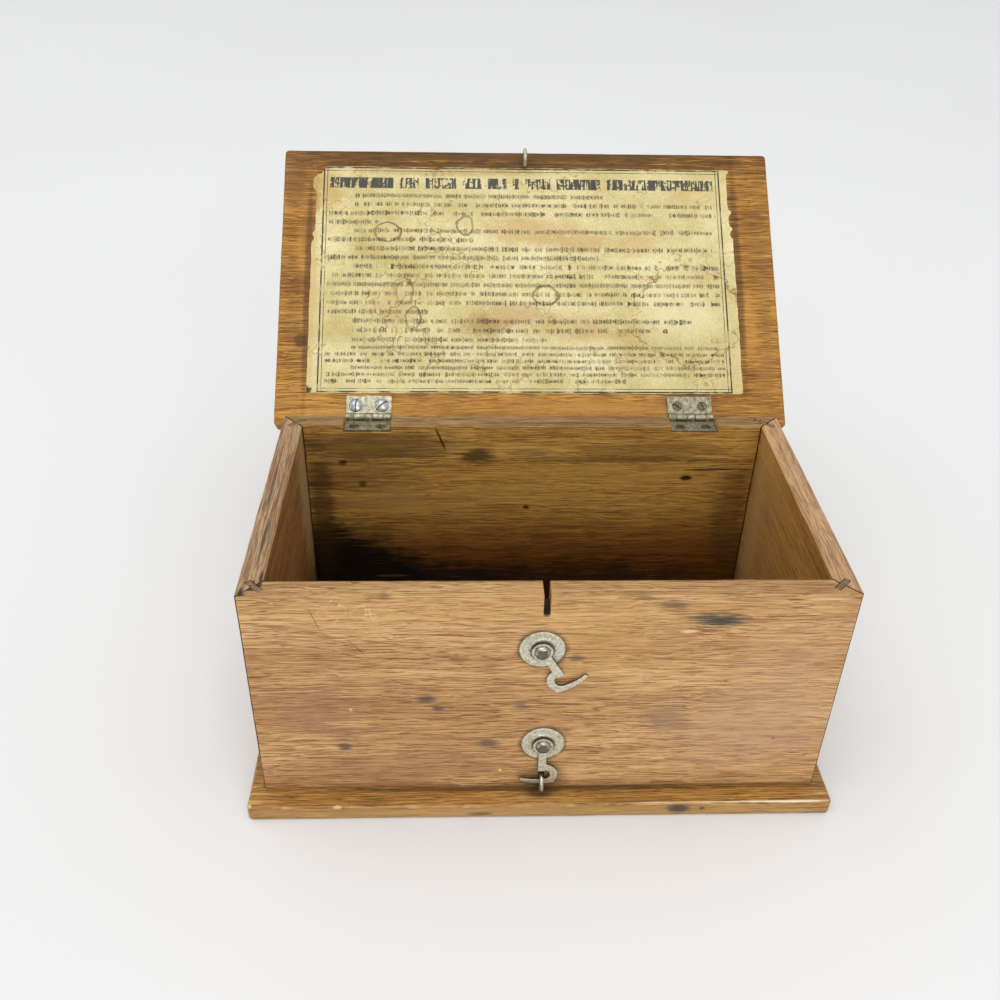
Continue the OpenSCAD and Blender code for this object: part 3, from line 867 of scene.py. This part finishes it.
# colour drifts in patches 20 to 60 mm across; fibre specks are 0.7 mm; the rest place the wear
layers = {}
for layer, wide, long, detail, slide in (
    ("cloud", 34, 26, 4, (0, 0, 0)),
    ("speck", 0.7, 0.7, 2, (0, 0, 0)),
    ("fibre", 1, 1, 2, (4, 0, 0)),
    ("blotch", 7, 7, 4, (9, 4, 0)),
    ("tide", 24, 19, 3, (3, 11, 0)),
    ("crease", 13, 16, 2, (21, 3, 0)),
    ("rubbed", 9, 9, 2, (5, 5, 0)),
    ("faint", 15, 12, 3, (2, 8, 0)),
    ("waver", 30, 30, 2, (0, 0, 0)),
    ("cockle", 5, 4, 5, (1, 1, 0)),
    ("dashes", 0.95, 9, 0, (3, 0, 0)),
    ("blots", 1.5, 1.5, 1, (0, 7, 0)),
):
    placed = add(tree, "Mapping", {0: at, 1: slide, 3: (1 / wide, 1 / long, 1)})
    layers[layer] = add(
        tree, "TexNoise", {0: placed, "Scale": 1, "Detail": detail, "Roughness": 0.6}
    )


def overlap(*masks):
    """Where all of these masks are, as strong as their product."""
    both = masks[0]
    for mask in masks[1:]:
        both = add(tree, "Math", [both, mask], operation="MULTIPLY")
    return both


def between(value, low, high, soft):
    """1 between two values and 0 outside them, with an edge as wide as soft."""
    up = add(tree, "MapRange", [value, low - soft, low + soft, 0, 1])
    down = add(tree, "MapRange", [value, high - soft, high + soft, 1, 0])
    return overlap(up, down)


ground = add(
    tree,
    "ValToRGB",
    [layers["cloud"]],
    stops=[(0.3, "#bfab6c"), (0.5, "#d3c48d"), (0.68, "#dfd4a3")],
)
specks = add(tree, "MapRange", [layers["speck"], 0.3, 0.7, 0.8, 1.12])
ground = add(tree, "MixRGB", [1.0, ground, specks], blend_type="MULTIPLY")
sheet_parts = {"tree": tree, "at": at, "layers": layers, "colour": ground}
for x_mm, s_mm, wide, long, shade, amount in (
    (0, 100, 26, 9, "#b98e4c", 0.45),
    (24, 94, 20, 6, "#b58a4a", 0.5),
    (-8, 56, 22, 8, "#a87c3c", 0.5),
    (-22, 50, 13, 6, "#96692f", 0.5),
    (20, 50, 24, 9, "#b48c4e", 0.4),
    (52, 92, 12, 7, "#c09c5c", 0.45),
    (-66, 60, 10, 12, "#b3935a", 0.45),
    (70, 60, 22, 20, "#dccf9f", 0.5),
    (-60, 95, 18, 10, "#dacb98", 0.5),
    (-98, 122, 8, 14, "#b8934f", 0.6),
    (-40, 132, 60, 3, "#a98a50", 0.6),
    (85, 118, 14, 8, "#c6ab6d", 0.4),
    (94, 30, 8, 16, "#c3a768", 0.4),
    (-104.5, 70, 2.6, 60, "#c2a76a", 0.6),
    (-104.5, 118, 3, 14, "#a9803f", 0.7),
    (-105, 17.5, 2.2, 2.2, "#2c1e10", 0.95),
):
    stain(sheet_parts, (x_mm, s_mm, 0), (wide, long, 50), shade, amount)
# tide marks: thin brown rings where damp patches dried, and dark hair creases
RINGS = [
    (-68.7, 98.7, 6, 5), (-31.2, 102.8, 4, 5), (-60, 67, 4, 6), (-56, 54, 3.5, 6),
    (7.8, 65.6, 6, 5), (76, 56, 26, 24),
]
tide = add(tree, "Math", [layers["tide"], 0.6, 0.006], operation="COMPARE")
tint(sheet_parts, overlap(tide, 0.55), "#9c7338")
for x_mm, s_mm, wide, long in RINGS:
    reach = reach_from(tree, at, (x_mm, s_mm, 0), (wide, long, 50))
    reach = add(tree, "Math", [layers["blotch"], 0.9, reach], operation="MULTIPLY_ADD")
    ring = add(tree, "Math", [reach, 1.45, 0.5 / min(wide, long)], operation="COMPARE")
    tint(sheet_parts, overlap(ring, layers["rubbed"], 1.3), "#7d5a2a")
creases = add(tree, "Math", [layers["crease"], 0.5, 0.007], operation="COMPARE")
creased = stain(sheet_parts, (-62, 58, 0), (16, 34, 50), "#cdb67c", 0.2)
tint(sheet_parts, overlap(creases, creased, 4.0), "#6b5230")

# the border: a heavy rule with a light one 1.6 mm inside it, worn away in places
LEFT, RIGHT, FOOT_S, HEAD_S = -100.3, 95.2, 16.6, 133.4
inside_x = between(x, LEFT - 0.3, RIGHT + 0.3, 0.05)
inside_s = between(s, FOOT_S - 0.3, HEAD_S + 0.3, 0.05)
worn_rule = add(tree, "MapRange", [layers["rubbed"], 0.36, 0.5, 0.3, 1])
for inset, half in ((0.0, 0.36), (1.6, 0.16)):
    for value, place, other in (
        (x, LEFT + inset, inside_s),
        (x, RIGHT - inset, inside_s),
        (s, FOOT_S + inset, inside_x),
        (s, HEAD_S - inset, inside_x),
    ):
        rule = overlap(between(value, place - half, place + half, 0.06), other, worn_rule)
        tint(sheet_parts, rule, "#3a3226")

# body lines: each row has its own start and end, in millimetres, and is filled with broken marks
INDENT, MARGIN, FULL = -85, -97.5, 92.5
ROWS = [
    (INDENT, 37), (INDENT, 91), (MARGIN, FULL), (MARGIN, -73), (INDENT, 91), (MARGIN, -27),
    (INDENT, 90), (MARGIN, 34), (INDENT, FULL), (MARGIN, FULL), (MARGIN, FULL), (MARGIN, FULL),
    (MARGIN, FULL), (MARGIN, -49), (INDENT, 78), (INDENT, 66), (INDENT, 8),
]
SMALL = [(INDENT, 90), (MARGIN, FULL), (MARGIN, FULL), (INDENT, FULL), (MARGIN, FULL), (MARGIN, 47)]
worn_print = add(tree, "MapRange", [layers["faint"], 0.34, 0.6, 0.6, 0.95])
worn_marks = add(tree, "MapRange", [layers["fibre"], 0.34, 0.5, 0.35, 1])


def rows_of_marks(rows, top, pitch, tall, wide, slide):
    """Rows of upright ticks of uneven height, in groups 4 to 12 mm long, that spell nothing:
    top, pitch, tall and wide in millimetres, and slide keeps two blocks of rows from matching."""
    lines = add(tree, "Math", [layers["waver"], s], operation="ADD")
    lines = add(tree, "Math", [top + 0.5 + pitch / 2, lines], operation="SUBTRACT")
    lines = add(tree, "Math", [lines, pitch], operation="DIVIDE")
    row = add(tree, "Math", [lines], operation="FLOOR")
    across = add(tree, "Math", [lines], operation="FRACT")
    across = add(tree, "Math", [across, 0.5], operation="SUBTRACT")
    across = add(tree, "Math", [across], operation="ABSOLUTE")
    key = add(tree, "Math", [row, 0.5], operation="ADD")
    key = add(tree, "Math", [key, len(rows)], operation="DIVIDE")
    used = add(tree, "Math", [key, 0.5, 0.5], operation="COMPARE")
    # a ramp holds each row's ends, as places on a span that is wider than the sheet
    span = 220.0
    for side, test in ((0, "GREATER_THAN"), (1, "LESS_THAN")):
        stops = [(k / len(rows), ends[side] / span + 0.5) for k, ends in enumerate(rows)]
        limit = add(tree, "ValToRGB", [key], stops=stops)
        limit.color_ramp.interpolation = "CONSTANT"
        limit = add(tree, "Math", [limit, span, -span / 2], operation="MULTIPLY_ADD")
        used = overlap(used, add(tree, "Math", [x, limit], operation=test))
    # three tracks run along a row: the ticks, how tall each is, and the gaps between the groups
    tracks = {}
    for track, length, apart in (
        ("ticks", wide, 7.3),
        ("height", 1.9 * wide, 5.1),
        ("groups", 3.1, 3.7),
    ):
        along = add(tree, "Math", [x, length], operation="DIVIDE")
        lane = add(tree, "Math", [row, apart, slide], operation="MULTIPLY_ADD")
        along = add(tree, "CombineXYZ", [along, lane])
        tracks[track] = add(
            tree, "TexNoise", {0: along, "Scale": 1, "Detail": 0}, noise_dimensions="2D"
        )
    ticks = add(tree, "MapRange", [tracks["ticks"], 0.4, 0.54, 0.28, 1])
    groups = add(tree, "MapRange", [tracks["groups"], 0.29, 0.34, 0, 1])
    limits = {1: 0.4, 2: 0.75, 3: 0.34 * tall / pitch, 4: 0.66 * tall / pitch}
    reach = add(tree, "MapRange", {0: tracks["height"], **limits})
    reach = add(tree, "Math", [reach, across], operation="SUBTRACT")
    reach = add(tree, "MapRange", [reach, -0.05, 0.05, 0, 1])
    marks = overlap(ticks, groups, reach, used, worn_marks, worn_print)
    tint(sheet_parts, marks, "#392f21")


rows_of_marks(ROWS, top=118.2, pitch=4.72, tall=2.3, wide=0.42, slide=2.0)
rows_of_marks(SMALL, top=38.8, pitch=3.4, tall=1.8, wide=0.38, slide=9.0)

# the heading: a heavy row of upright dashes and smudges in groups, with no letters in it
dashes = add(tree, "MapRange", [layers["dashes"], 0.44, 0.5, 0, 1])
blots = add(tree, "MapRange", [layers["blots"], 0.5, 0.57, 0, 0.9])
strokes = add(tree, "Math", [dashes, blots], operation="MAXIMUM")
HEADING_X, CELL = -97.4, 3.1  # where the row starts, and how wide each dash's cell is
cell_no = add(tree, "Math", [x, HEADING_X], operation="SUBTRACT")
cell_no = add(tree, "Math", [cell_no, CELL], operation="DIVIDE")
cell_no = add(tree, "Math", [cell_no], operation="FLOOR")
for gap in (10, 14, 20, 24, 28, 30, 35, 43):
    apart = add(tree, "Math", [cell_no, float(gap), 0.4], operation="COMPARE")
    strokes = add(tree, "Math", [strokes, apart], operation="SUBTRACT", use_clamp=True)
strokes = overlap(strokes, between(x, HEADING_X, 92.0, 0.1), between(s, 122.3, 128.1, 0.2), 0.93)
tint(sheet_parts, strokes, "#262c30")
relief = add(tree, "Bump", {"Strength": 0.5, "Distance": 0.0002, "Height": layers["cockle"]})
shader = add(
    tree,
    "BsdfPrincipled",
    {"Base Color": sheet_parts["colour"], "Roughness": 0.68, "IOR": 1.45, "Normal": relief},
)
add(tree, "OutputMaterial", [shader])
hand_over(sheet, "lid", ["directions_label"], paper, 60)


# ---- Hinges ----
# Two small butt hinges of nickelled sheet steel, their knuckles rolled round steel pins, and each
# leaf let in flush and held by two slotted screws. The plating has gone a mottled greenish grey
# with a dull shine, dirtier on three leaves than on the fourth.
def aged_metal(name, tones, roughs, grain, pits, pivot_rings=(), flat_way=None, slots=()):
    """Plated steel. Grain is the size of the mottling in millimetres, roughs go from rubbed to
    tarnished. The colour is darker in a ring round each pivot in pivot_rings (x, z, radius), on
    the faces that turn from flat_way, and in the screw slots (middle, way across)."""
    material, tree = bare_material(name)
    spot = add(tree, "TexCoord").outputs["Object"]
    # mottled tarnish over fine pits where the plating has failed
    mottle = add(tree, "TexNoise", {0: spot, "Scale": 1000 / grain, "Detail": 5, "Roughness": 0.65})
    fine = add(tree, "TexNoise", {0: spot, "Scale": 1000 / 0.35, "Detail": 2})
    colour = add(
        tree, "ValToRGB", [mottle], stops=[(0.32, tones[0]), (0.5, tones[1]), (0.66, tones[2])]
    )
    pitted = add(tree, "MapRange", [fine, 0.58, 0.68, 0, pits])
    colour = add(tree, "MixRGB", [pitted, colour, linear("#4d463a")])
    for x, z, around in pivot_rings:
        reach = reach_from(tree, spot, metres(x, FRONT, z), (0.001, 10, 0.001))
        reach = add(tree, "Math", [mottle, 2.0, reach], operation="MULTIPLY_ADD")
        ring = add(tree, "MapRange", [reach, around + 1.4, around + 0.7, 0, 0.75])
        colour = add(tree, "MixRGB", [ring, colour, linear("#544b3a")])
    if flat_way:
        facing = add(tree, "TexCoord").outputs["Normal"]
        facing = add(tree, "VectorMath", [facing, flat_way], operation="DOT_PRODUCT")
        facing = add(tree, "Math", [facing.outputs["Value"]], operation="ABSOLUTE")
        edge = add(tree, "MapRange", [facing, 0.9, 0.45, 0, 0.8])
        colour = add(tree, "MixRGB", [edge, colour, linear("#4a4233")])
    for middle, way in slots:
        off = beside(tree, spot, middle, way)
        slot = add(tree, "MapRange", [off, 0.00036, 0.00028, 0, 0.9])
        inside = reach_from(tree, spot, middle, metres(3.4, 3.4, 3.4))
        inside = add(tree, "Math", [inside, 1.0], operation="LESS_THAN")
        slot = add(tree, "Math", [slot, inside], operation="MULTIPLY")
        colour = add(tree, "MixRGB", [slot, colour, linear("#2e2a24")])
    rough = add(tree, "MapRange", [mottle, 0.3, 0.7, roughs[1], roughs[0]])
    bump = add(tree, "Bump", {"Strength": 0.5, "Distance": 0.00006, "Height": fine})
    shader = add(
        tree,
        "BsdfPrincipled",
        {"Base Color": colour, "Metallic": 1.0, "Roughness": rough, "Normal": bump},
    )
    add(tree, "OutputMaterial", [shader])
    return material


hinge_nickel = aged_metal(
    "aged_nickel_hinge", ("#857e68", "#a9a38b", "#c4bfa9"), (0.36, 0.55), 2.2, 0.45
)
dirty_nickel = aged_metal(
    "dirty_nickel_hinge", ("#6f6954", "#979079", "#b1ab94"), (0.42, 0.6), 1.8, 0.55
)
LEAF_EDGE, LEAF_BACK, LEAF_T = 10.6, 2.2, 0.9
LEAF_DROP = 1.8  # from the pin's middle to the face of either leaf that lies in the wood
KNUCKLE_MID, KNUCKLE_T = 1.325, 0.75  # radius at the middle of the rolled wall, and its thickness
BOX_SCREWS, LID_SCREWS = 7.0, 5.8  # from the pin's middle to each pair of screws
KNUCKLE_ENDS = [-10.5, -6.8, -2, 2, 6.8, 10.5]


def hinge_leaf(name, x, first, screws_at, on_the_lid):
    """A leaf flat beside the pin, with every other knuckle rolled from it round the pin."""
    flip = -1 if on_the_lid else 1
    z = sorted((PIN_Z - flip * LEAF_DROP, PIN_Z - flip * (LEAF_DROP - LEAF_T)))
    leaf = block(
        name,
        (x + KNUCKLE_ENDS[0], PIN_Y - LEAF_EDGE, z[0]),
        (x + KNUCKLE_ENDS[-1], PIN_Y - LEAF_BACK, z[1]),
    )
    for end in KNUCKLE_ENDS[1:-1]:
        bpy.ops.mesh.select_all(action="SELECT")
        bpy.ops.mesh.bisect(plane_co=metres(x + end, 0, 0), plane_no=(1, 0, 0))
    for k in range(first, 5, 2):
        low, high = x + KNUCKLE_ENDS[k], x + KNUCKLE_ENDS[k + 1]
        pick("FACE", lambda middle, way: way.y > 0.9 and low < middle.x < high)
        bpy.ops.mesh.extrude_region_move(TRANSFORM_OT_translate={"value": metres(0, LEAF_BACK, 0)})
        # draw the tab down to the knuckle's wall, and leave play between the two leaves' knuckles
        middle = Vector(metres((low + high) / 2, PIN_Y, PIN_Z - flip * KNUCKLE_MID))
        shape = bmesh.from_edit_mesh(leaf.data)
        for vertex in shape.verts:
            if vertex.select:
                vertex.co.x = middle.x + (vertex.co.x - middle.x) * (1 - 0.2 / (high - low))
                up = 1 if vertex.co.z * 1000 > PIN_Z - flip * (LEAF_DROP - LEAF_T / 2) else -1
                vertex.co.z = middle.z + up * KNUCKLE_T / 2000
        bmesh.update_edit_mesh(leaf.data)
        bpy.ops.mesh.spin(
            steps=26,
            angle=math.radians(-flip * 318),
            center=metres(0, PIN_Y, PIN_Z),
            axis=(1, 0, 0),
        )
    bpy.ops.mesh.select_all(action="SELECT")
    bpy.ops.mesh.remove_doubles(threshold=0.000005)
    bpy.ops.mesh.normals_make_consistent(inside=False)
    bpy.ops.object.mode_set(mode="OBJECT")
    for side in (-6, 6):
        bpy.ops.mesh.primitive_cone_add(
            vertices=48,
            radius1=0.00125 if flip > 0 else 0.0025,
            radius2=0.0025 if flip > 0 else 0.00125,
            depth=0.0012,
            location=metres(x + side, PIN_Y - screws_at, PIN_Z - flip * (LEAF_DROP - LEAF_T / 2)),
        )
        cut_away(leaf, bpy.context.active_object)
    bpy.ops.object.mode_set(mode="EDIT")
    bevel_sharp(0.09, 2, 50)
    bpy.ops.object.mode_set(mode="OBJECT")
    if on_the_lid:
        swing_open(leaf)
    return leaf


for side, x in HINGES.items():
    lower = hinge_leaf(f"{side}_hinge_case_leaf", x, 0, BOX_SCREWS, False)
    hand_over(lower, "case", [f"{side}_hinge_box_leaf"], dirty_nickel)
    upper = hinge_leaf(f"{side}_hinge_lid_leaf", x, 1, LID_SCREWS, True)
    plating = hinge_nickel if side == "left" else dirty_nickel
    hand_over(upper, "lid", [f"{side}_hinge_lid_leaf"], plating)

# pins and screws keep their turned shapes: rusted steel, brown and rough, but for two bright and
# smooth zinc-plated screws that were put into the left lid leaf later
dark_steel = aged_metal(
    "rusted_screw_steel", ("#3f372c", "#6b6250", "#8c8471"), (0.4, 0.7), 0.9, 0.8
)
slot_places = []
for x, turn in ((-6, 95), (6, 140)):
    middle = Vector(metres(HINGES["left"] + x, PIN_Y - LID_SCREWS, PIN_Z + 0.2))
    across = Vector((-math.sin(math.radians(turn)), math.cos(math.radians(turn)), 0))
    slot_places.append((OPENED @ middle, OPENED.to_3x3() @ across))
bright_zinc = aged_metal(
    "bright_zinc_screw",
    ("#8d918e", "#bcc0bd", "#dfe3e1"),
    (0.22, 0.36),
    1.6,
    0.25,
    slots=slot_places,
)
for node, material in (
    ("left_hinge_pin", dark_steel),
    ("right_hinge_pin", dark_steel),
    ("left_hinge_box_screws", dark_steel),
    ("right_hinge_box_screws", dark_steel),
    ("right_hinge_lid_screws", dark_steel),
    ("left_hinge_lid_screws", bright_zinc),
):
    coat(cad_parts[node], material)


# ---- Rosettes, hooks and pivots ----
# Each hook is stamped from nickelled sheet steel and turns on a domed pin in a round pressed plate.
# Plates and hooks are pale, frosted and pitted, and the domes are still polished. The upper hook
# hangs slack and the lower one is through its screw eye.
HOOKS = {"upper": (-2.6, 84.1), "lower": (-0.2, 33.3)}
# a rim, a shallow pressed ring and the boss that the hook turns on, as steps in and up
PRESSED = [(1.1, 0.0), (0.35, 0.16), (0.5, 0.0), (0.35, -0.16), (0.5, 0.0), (0.12, -0.45)]
plate_nickel = aged_metal(
    "aged_nickel_plate",
    ("#b3ae97", "#d6d2bd", "#e8e5d6"),
    (0.42, 0.6),
    1.1,
    0.5,
    [(x, z, 4.9) for x, z in HOOKS.values()],
)
hook_nickel = aged_metal(
    "aged_nickel_hook",
    ("#b3ad95", "#d6d1bc", "#eae7d7"),
    (0.34, 0.5),
    1.3,
    0.45,
    [(x, z, 3.0) for x, z in HOOKS.values()],
    (0, 1, 0),
)
# on the domes the darker ring round each pivot is partly dirt and partly a painted dark reflection
# in the polished metal
dome_nickel = aged_metal(
    "polished_nickel_dome",
    ("#7f7b70", "#aaa69c", "#cbc7bd"),
    (0.1, 0.2),
    1.6,
    0.2,
    [(x, z, 2.2) for x, z in HOOKS.values()],
)
for which, (x, z) in HOOKS.items():
    bpy.ops.mesh.primitive_cylinder_add(
        vertices=96,
        radius=0.00865,
        depth=0.0005,
        location=metres(x, FRONT - 0.25, z),
        rotation=(math.pi / 2, 0, 0),
    )
    plate = opened_up(f"{which}_hook_plate")
    pick("EDGE", lambda middle, way: middle.y < FRONT - 0.4)
    bevel(0.32, 3)
    for inset, rise in PRESSED:
        centre = Vector((x, 0, z))
        pick("FACE", lambda middle, way: way.y < -0.9 and (middle - centre).xz.length < 0.5)
        bpy.ops.mesh.inset(thickness=inset / 1000, depth=0)
        if rise:
            bpy.ops.transform.translate(value=(0, rise / 1000, 0))
    bevel_sharp(0.08, 2, 35)
    hand_over(plate, "case", [f"{which}_rosette"], plate_nickel)

    # the hook keeps its stamped outline, and its edges are eased
    choose(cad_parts[f"{which}_hook"])
    bpy.ops.object.duplicate()
    hook = bpy.context.active_object
    hook.parent = None
    hook.name = hook.data.name = f"{which}_stamped_hook"
    bpy.ops.object.mode_set(mode="EDIT")
    bpy.ops.mesh.select_all(action="SELECT")
    bpy.ops.mesh.remove_doubles(threshold=0.00001)
    bpy.ops.mesh.dissolve_limited(angle_limit=math.radians(1))
    bevel_sharp(0.2, 3, 50)
    hand_over(hook, f"{which}_hook", [f"{which}_hook"], hook_nickel)

    # the domed pin: a ball squashed, cut at its widest and drawn down to a short rim
    bpy.ops.mesh.primitive_uv_sphere_add(
        segments=64,
        ring_count=32,
        radius=0.0031,
        location=metres(x, FRONT - 2.2, z),
        rotation=(math.pi / 2, 0, 0),
    )
    bpy.context.active_object.scale = (1, 1, 0.58)
    dome = opened_up(f"{which}_hook_pin")
    bpy.ops.mesh.bisect(
        plane_co=metres(0, FRONT - 2.2, 0), plane_no=(0, 1, 0), use_fill=True, clear_outer=True
    )
    pick("FACE", lambda middle, way: way.y > 0.9 and middle.y > FRONT - 2.25)
    bpy.ops.mesh.extrude_region_move(TRANSFORM_OT_translate={"value": (0, 0.0002, 0)})
    bpy.ops.mesh.inset(thickness=0.0018, depth=0)
    bpy.ops.mesh.extrude_region_move(TRANSFORM_OT_translate={"value": (0, 0.009, 0)})
    bevel_sharp(0.1, 2, 50)
    hand_over(dome, "case", [f"{which}_hook_pivot"], dome_nickel)


# ---- Screw eyes ----
# Nickelled steel wire, bent round into a ring on a straight shank. It is smoother and brighter than
# the stampings. One is driven into the lid and one into the base, just in front of the case.
EYE_Y = FRONT - 1.8
RING_R, WIRE_R, SHANK_R = 3.5, 0.9, 0.85
RING_UP, SHANK_IN, SHANK_OUT = 4.7, 5.2, 0.9  # from the board's face to ring's middle, and ends
LEAN = 0.35  # the ring stands this far behind its shank


def screw_eye(name, x, y, surface, up):
    """An eye whose shank enters a board at surface; up is +1 above a board and -1 below one."""
    lift = surface + up * RING_UP
    bpy.ops.mesh.primitive_circle_add(
        vertices=24,
        radius=WIRE_R / 1000,
        fill_type="NGON",
        location=metres(x, y + LEAN, lift - up * RING_R),
        rotation=(math.pi / 2, 0, 0),
    )
    eye = opened_up(name)
    bpy.ops.mesh.spin(
        steps=60,
        angle=math.radians(-up * 346),
        center=metres(x, y + LEAN, lift),
        axis=(1, 0, 0),
    )
    bpy.ops.mesh.select_all(action="SELECT")
    bpy.ops.mesh.remove_doubles(threshold=0.000002)
    bpy.ops.mesh.normals_make_consistent(inside=False)
    bpy.ops.object.mode_set(mode="OBJECT")
    bpy.ops.mesh.primitive_cylinder_add(
        vertices=24,
        radius=SHANK_R / 1000,
        depth=(SHANK_IN + SHANK_OUT) / 1000,
        location=metres(x, y, surface - up * (SHANK_IN - SHANK_OUT) / 2),
    )
    cut_away(eye, bpy.context.active_object, "UNION")
    bpy.ops.object.mode_set(mode="EDIT")
    bevel_sharp(0.15, 2, 60)
    bpy.ops.object.mode_set(mode="OBJECT")
    return eye


eye_nickel = aged_metal(
    "aged_nickel_wire", ("#9a9583", "#c0bba9", "#d9d6c8"), (0.22, 0.42), 1.5, 0.35
)
lid_eye = screw_eye("lid_wire_eye", -1.6, EYE_Y, LID_UNDER, -1)
swing_open(lid_eye)
hand_over(lid_eye, "lid", ["lid_screw_eye"], eye_nickel)
base_eye = screw_eye("base_wire_eye", -0.2, EYE_Y, BASE_TOP, 1)
hand_over(base_eye, "case", ["base_screw_eye"], eye_nickel)


# ---- Floor, light and camera ----
# A matt off-white table top, painted evenly enough that it shows no pattern, under two large soft
# lamps. The camera looks down into the open case from in front.
bpy.ops.mesh.primitive_plane_add(size=9, location=(0, 0, 0))
floor = bpy.context.active_object
floor.name = "studio_floor"
floor_paint, tree = bare_material("matt_white_table")
cloudy = add(tree, "TexCoord").outputs["Object"]
cloudy = add(tree, "TexNoise", {0: cloudy, "Scale": 1.6, "Detail": 2})
shade = add(tree, "ValToRGB", [cloudy], stops=[(0.3, "#dededd"), (0.7, "#e2e2e2")])
shader = add(tree, "BsdfPrincipled", {"Base Color": shade, "Roughness": 0.75})
add(tree, "OutputMaterial", [shader])
floor.data.materials.append(floor_paint)

world = bpy.data.worlds.new("soft_room")
bpy.context.scene.world = world
world.use_nodes = True
world.node_tree.nodes["Background"].inputs[0].default_value = linear("#f4f5f6")
world.node_tree.nodes["Background"].inputs[1].default_value = 0.9


def lamp(name, place, aim, size, power):
    """A flat white lamp of a size in metres and a power in watts, turned towards aim."""
    bpy.ops.object.light_add(type="AREA", location=place)
    light = bpy.context.active_object
    light.name = name
    light.data.shape = "RECTANGLE"
    light.data.size, light.data.size_y = size
    light.data.energy = power
    light.rotation_euler = (Vector(aim) - Vector(place)).to_track_quat("-Z", "Y").to_euler()


lamp("overhead_softbox", (-0.5, -0.5, 3.4), (0, 0.2, 0), (3.6, 3.0), 46)
lamp("front_softbox", (0.6, -3.4, 2.0), (0, 0, 0.05), (2.4, 1.6), 24)
# two small panels that only show as glints in the polished metal
lamp("left_glint", (-0.9, -1.8, 1.5), (0, 0, 0.05), (0.2, 0.2), 1.5)
lamp("right_glint", (0.9, -1.9, 1.1), (0, 0, 0.05), (0.2, 0.2), 1.5)

bpy.ops.object.camera_add()
camera = bpy.context.active_object
camera.matrix_world = (
    Matrix.Translation((-0.03248, -0.35265, 0.35005))
    @ Matrix.Rotation(math.radians(-2.501), 4, "Z")
    @ Matrix.Rotation(math.radians(55.637), 4, "X")
    @ Matrix.Rotation(math.radians(1.379), 4, "Z")
)
camera.data.sensor_width = 36
camera.data.lens = 37.48
bpy.context.scene.camera = camera
bpy.context.scene.view_settings.view_transform = "Standard"
bpy.context.scene.view_settings.look = "None"
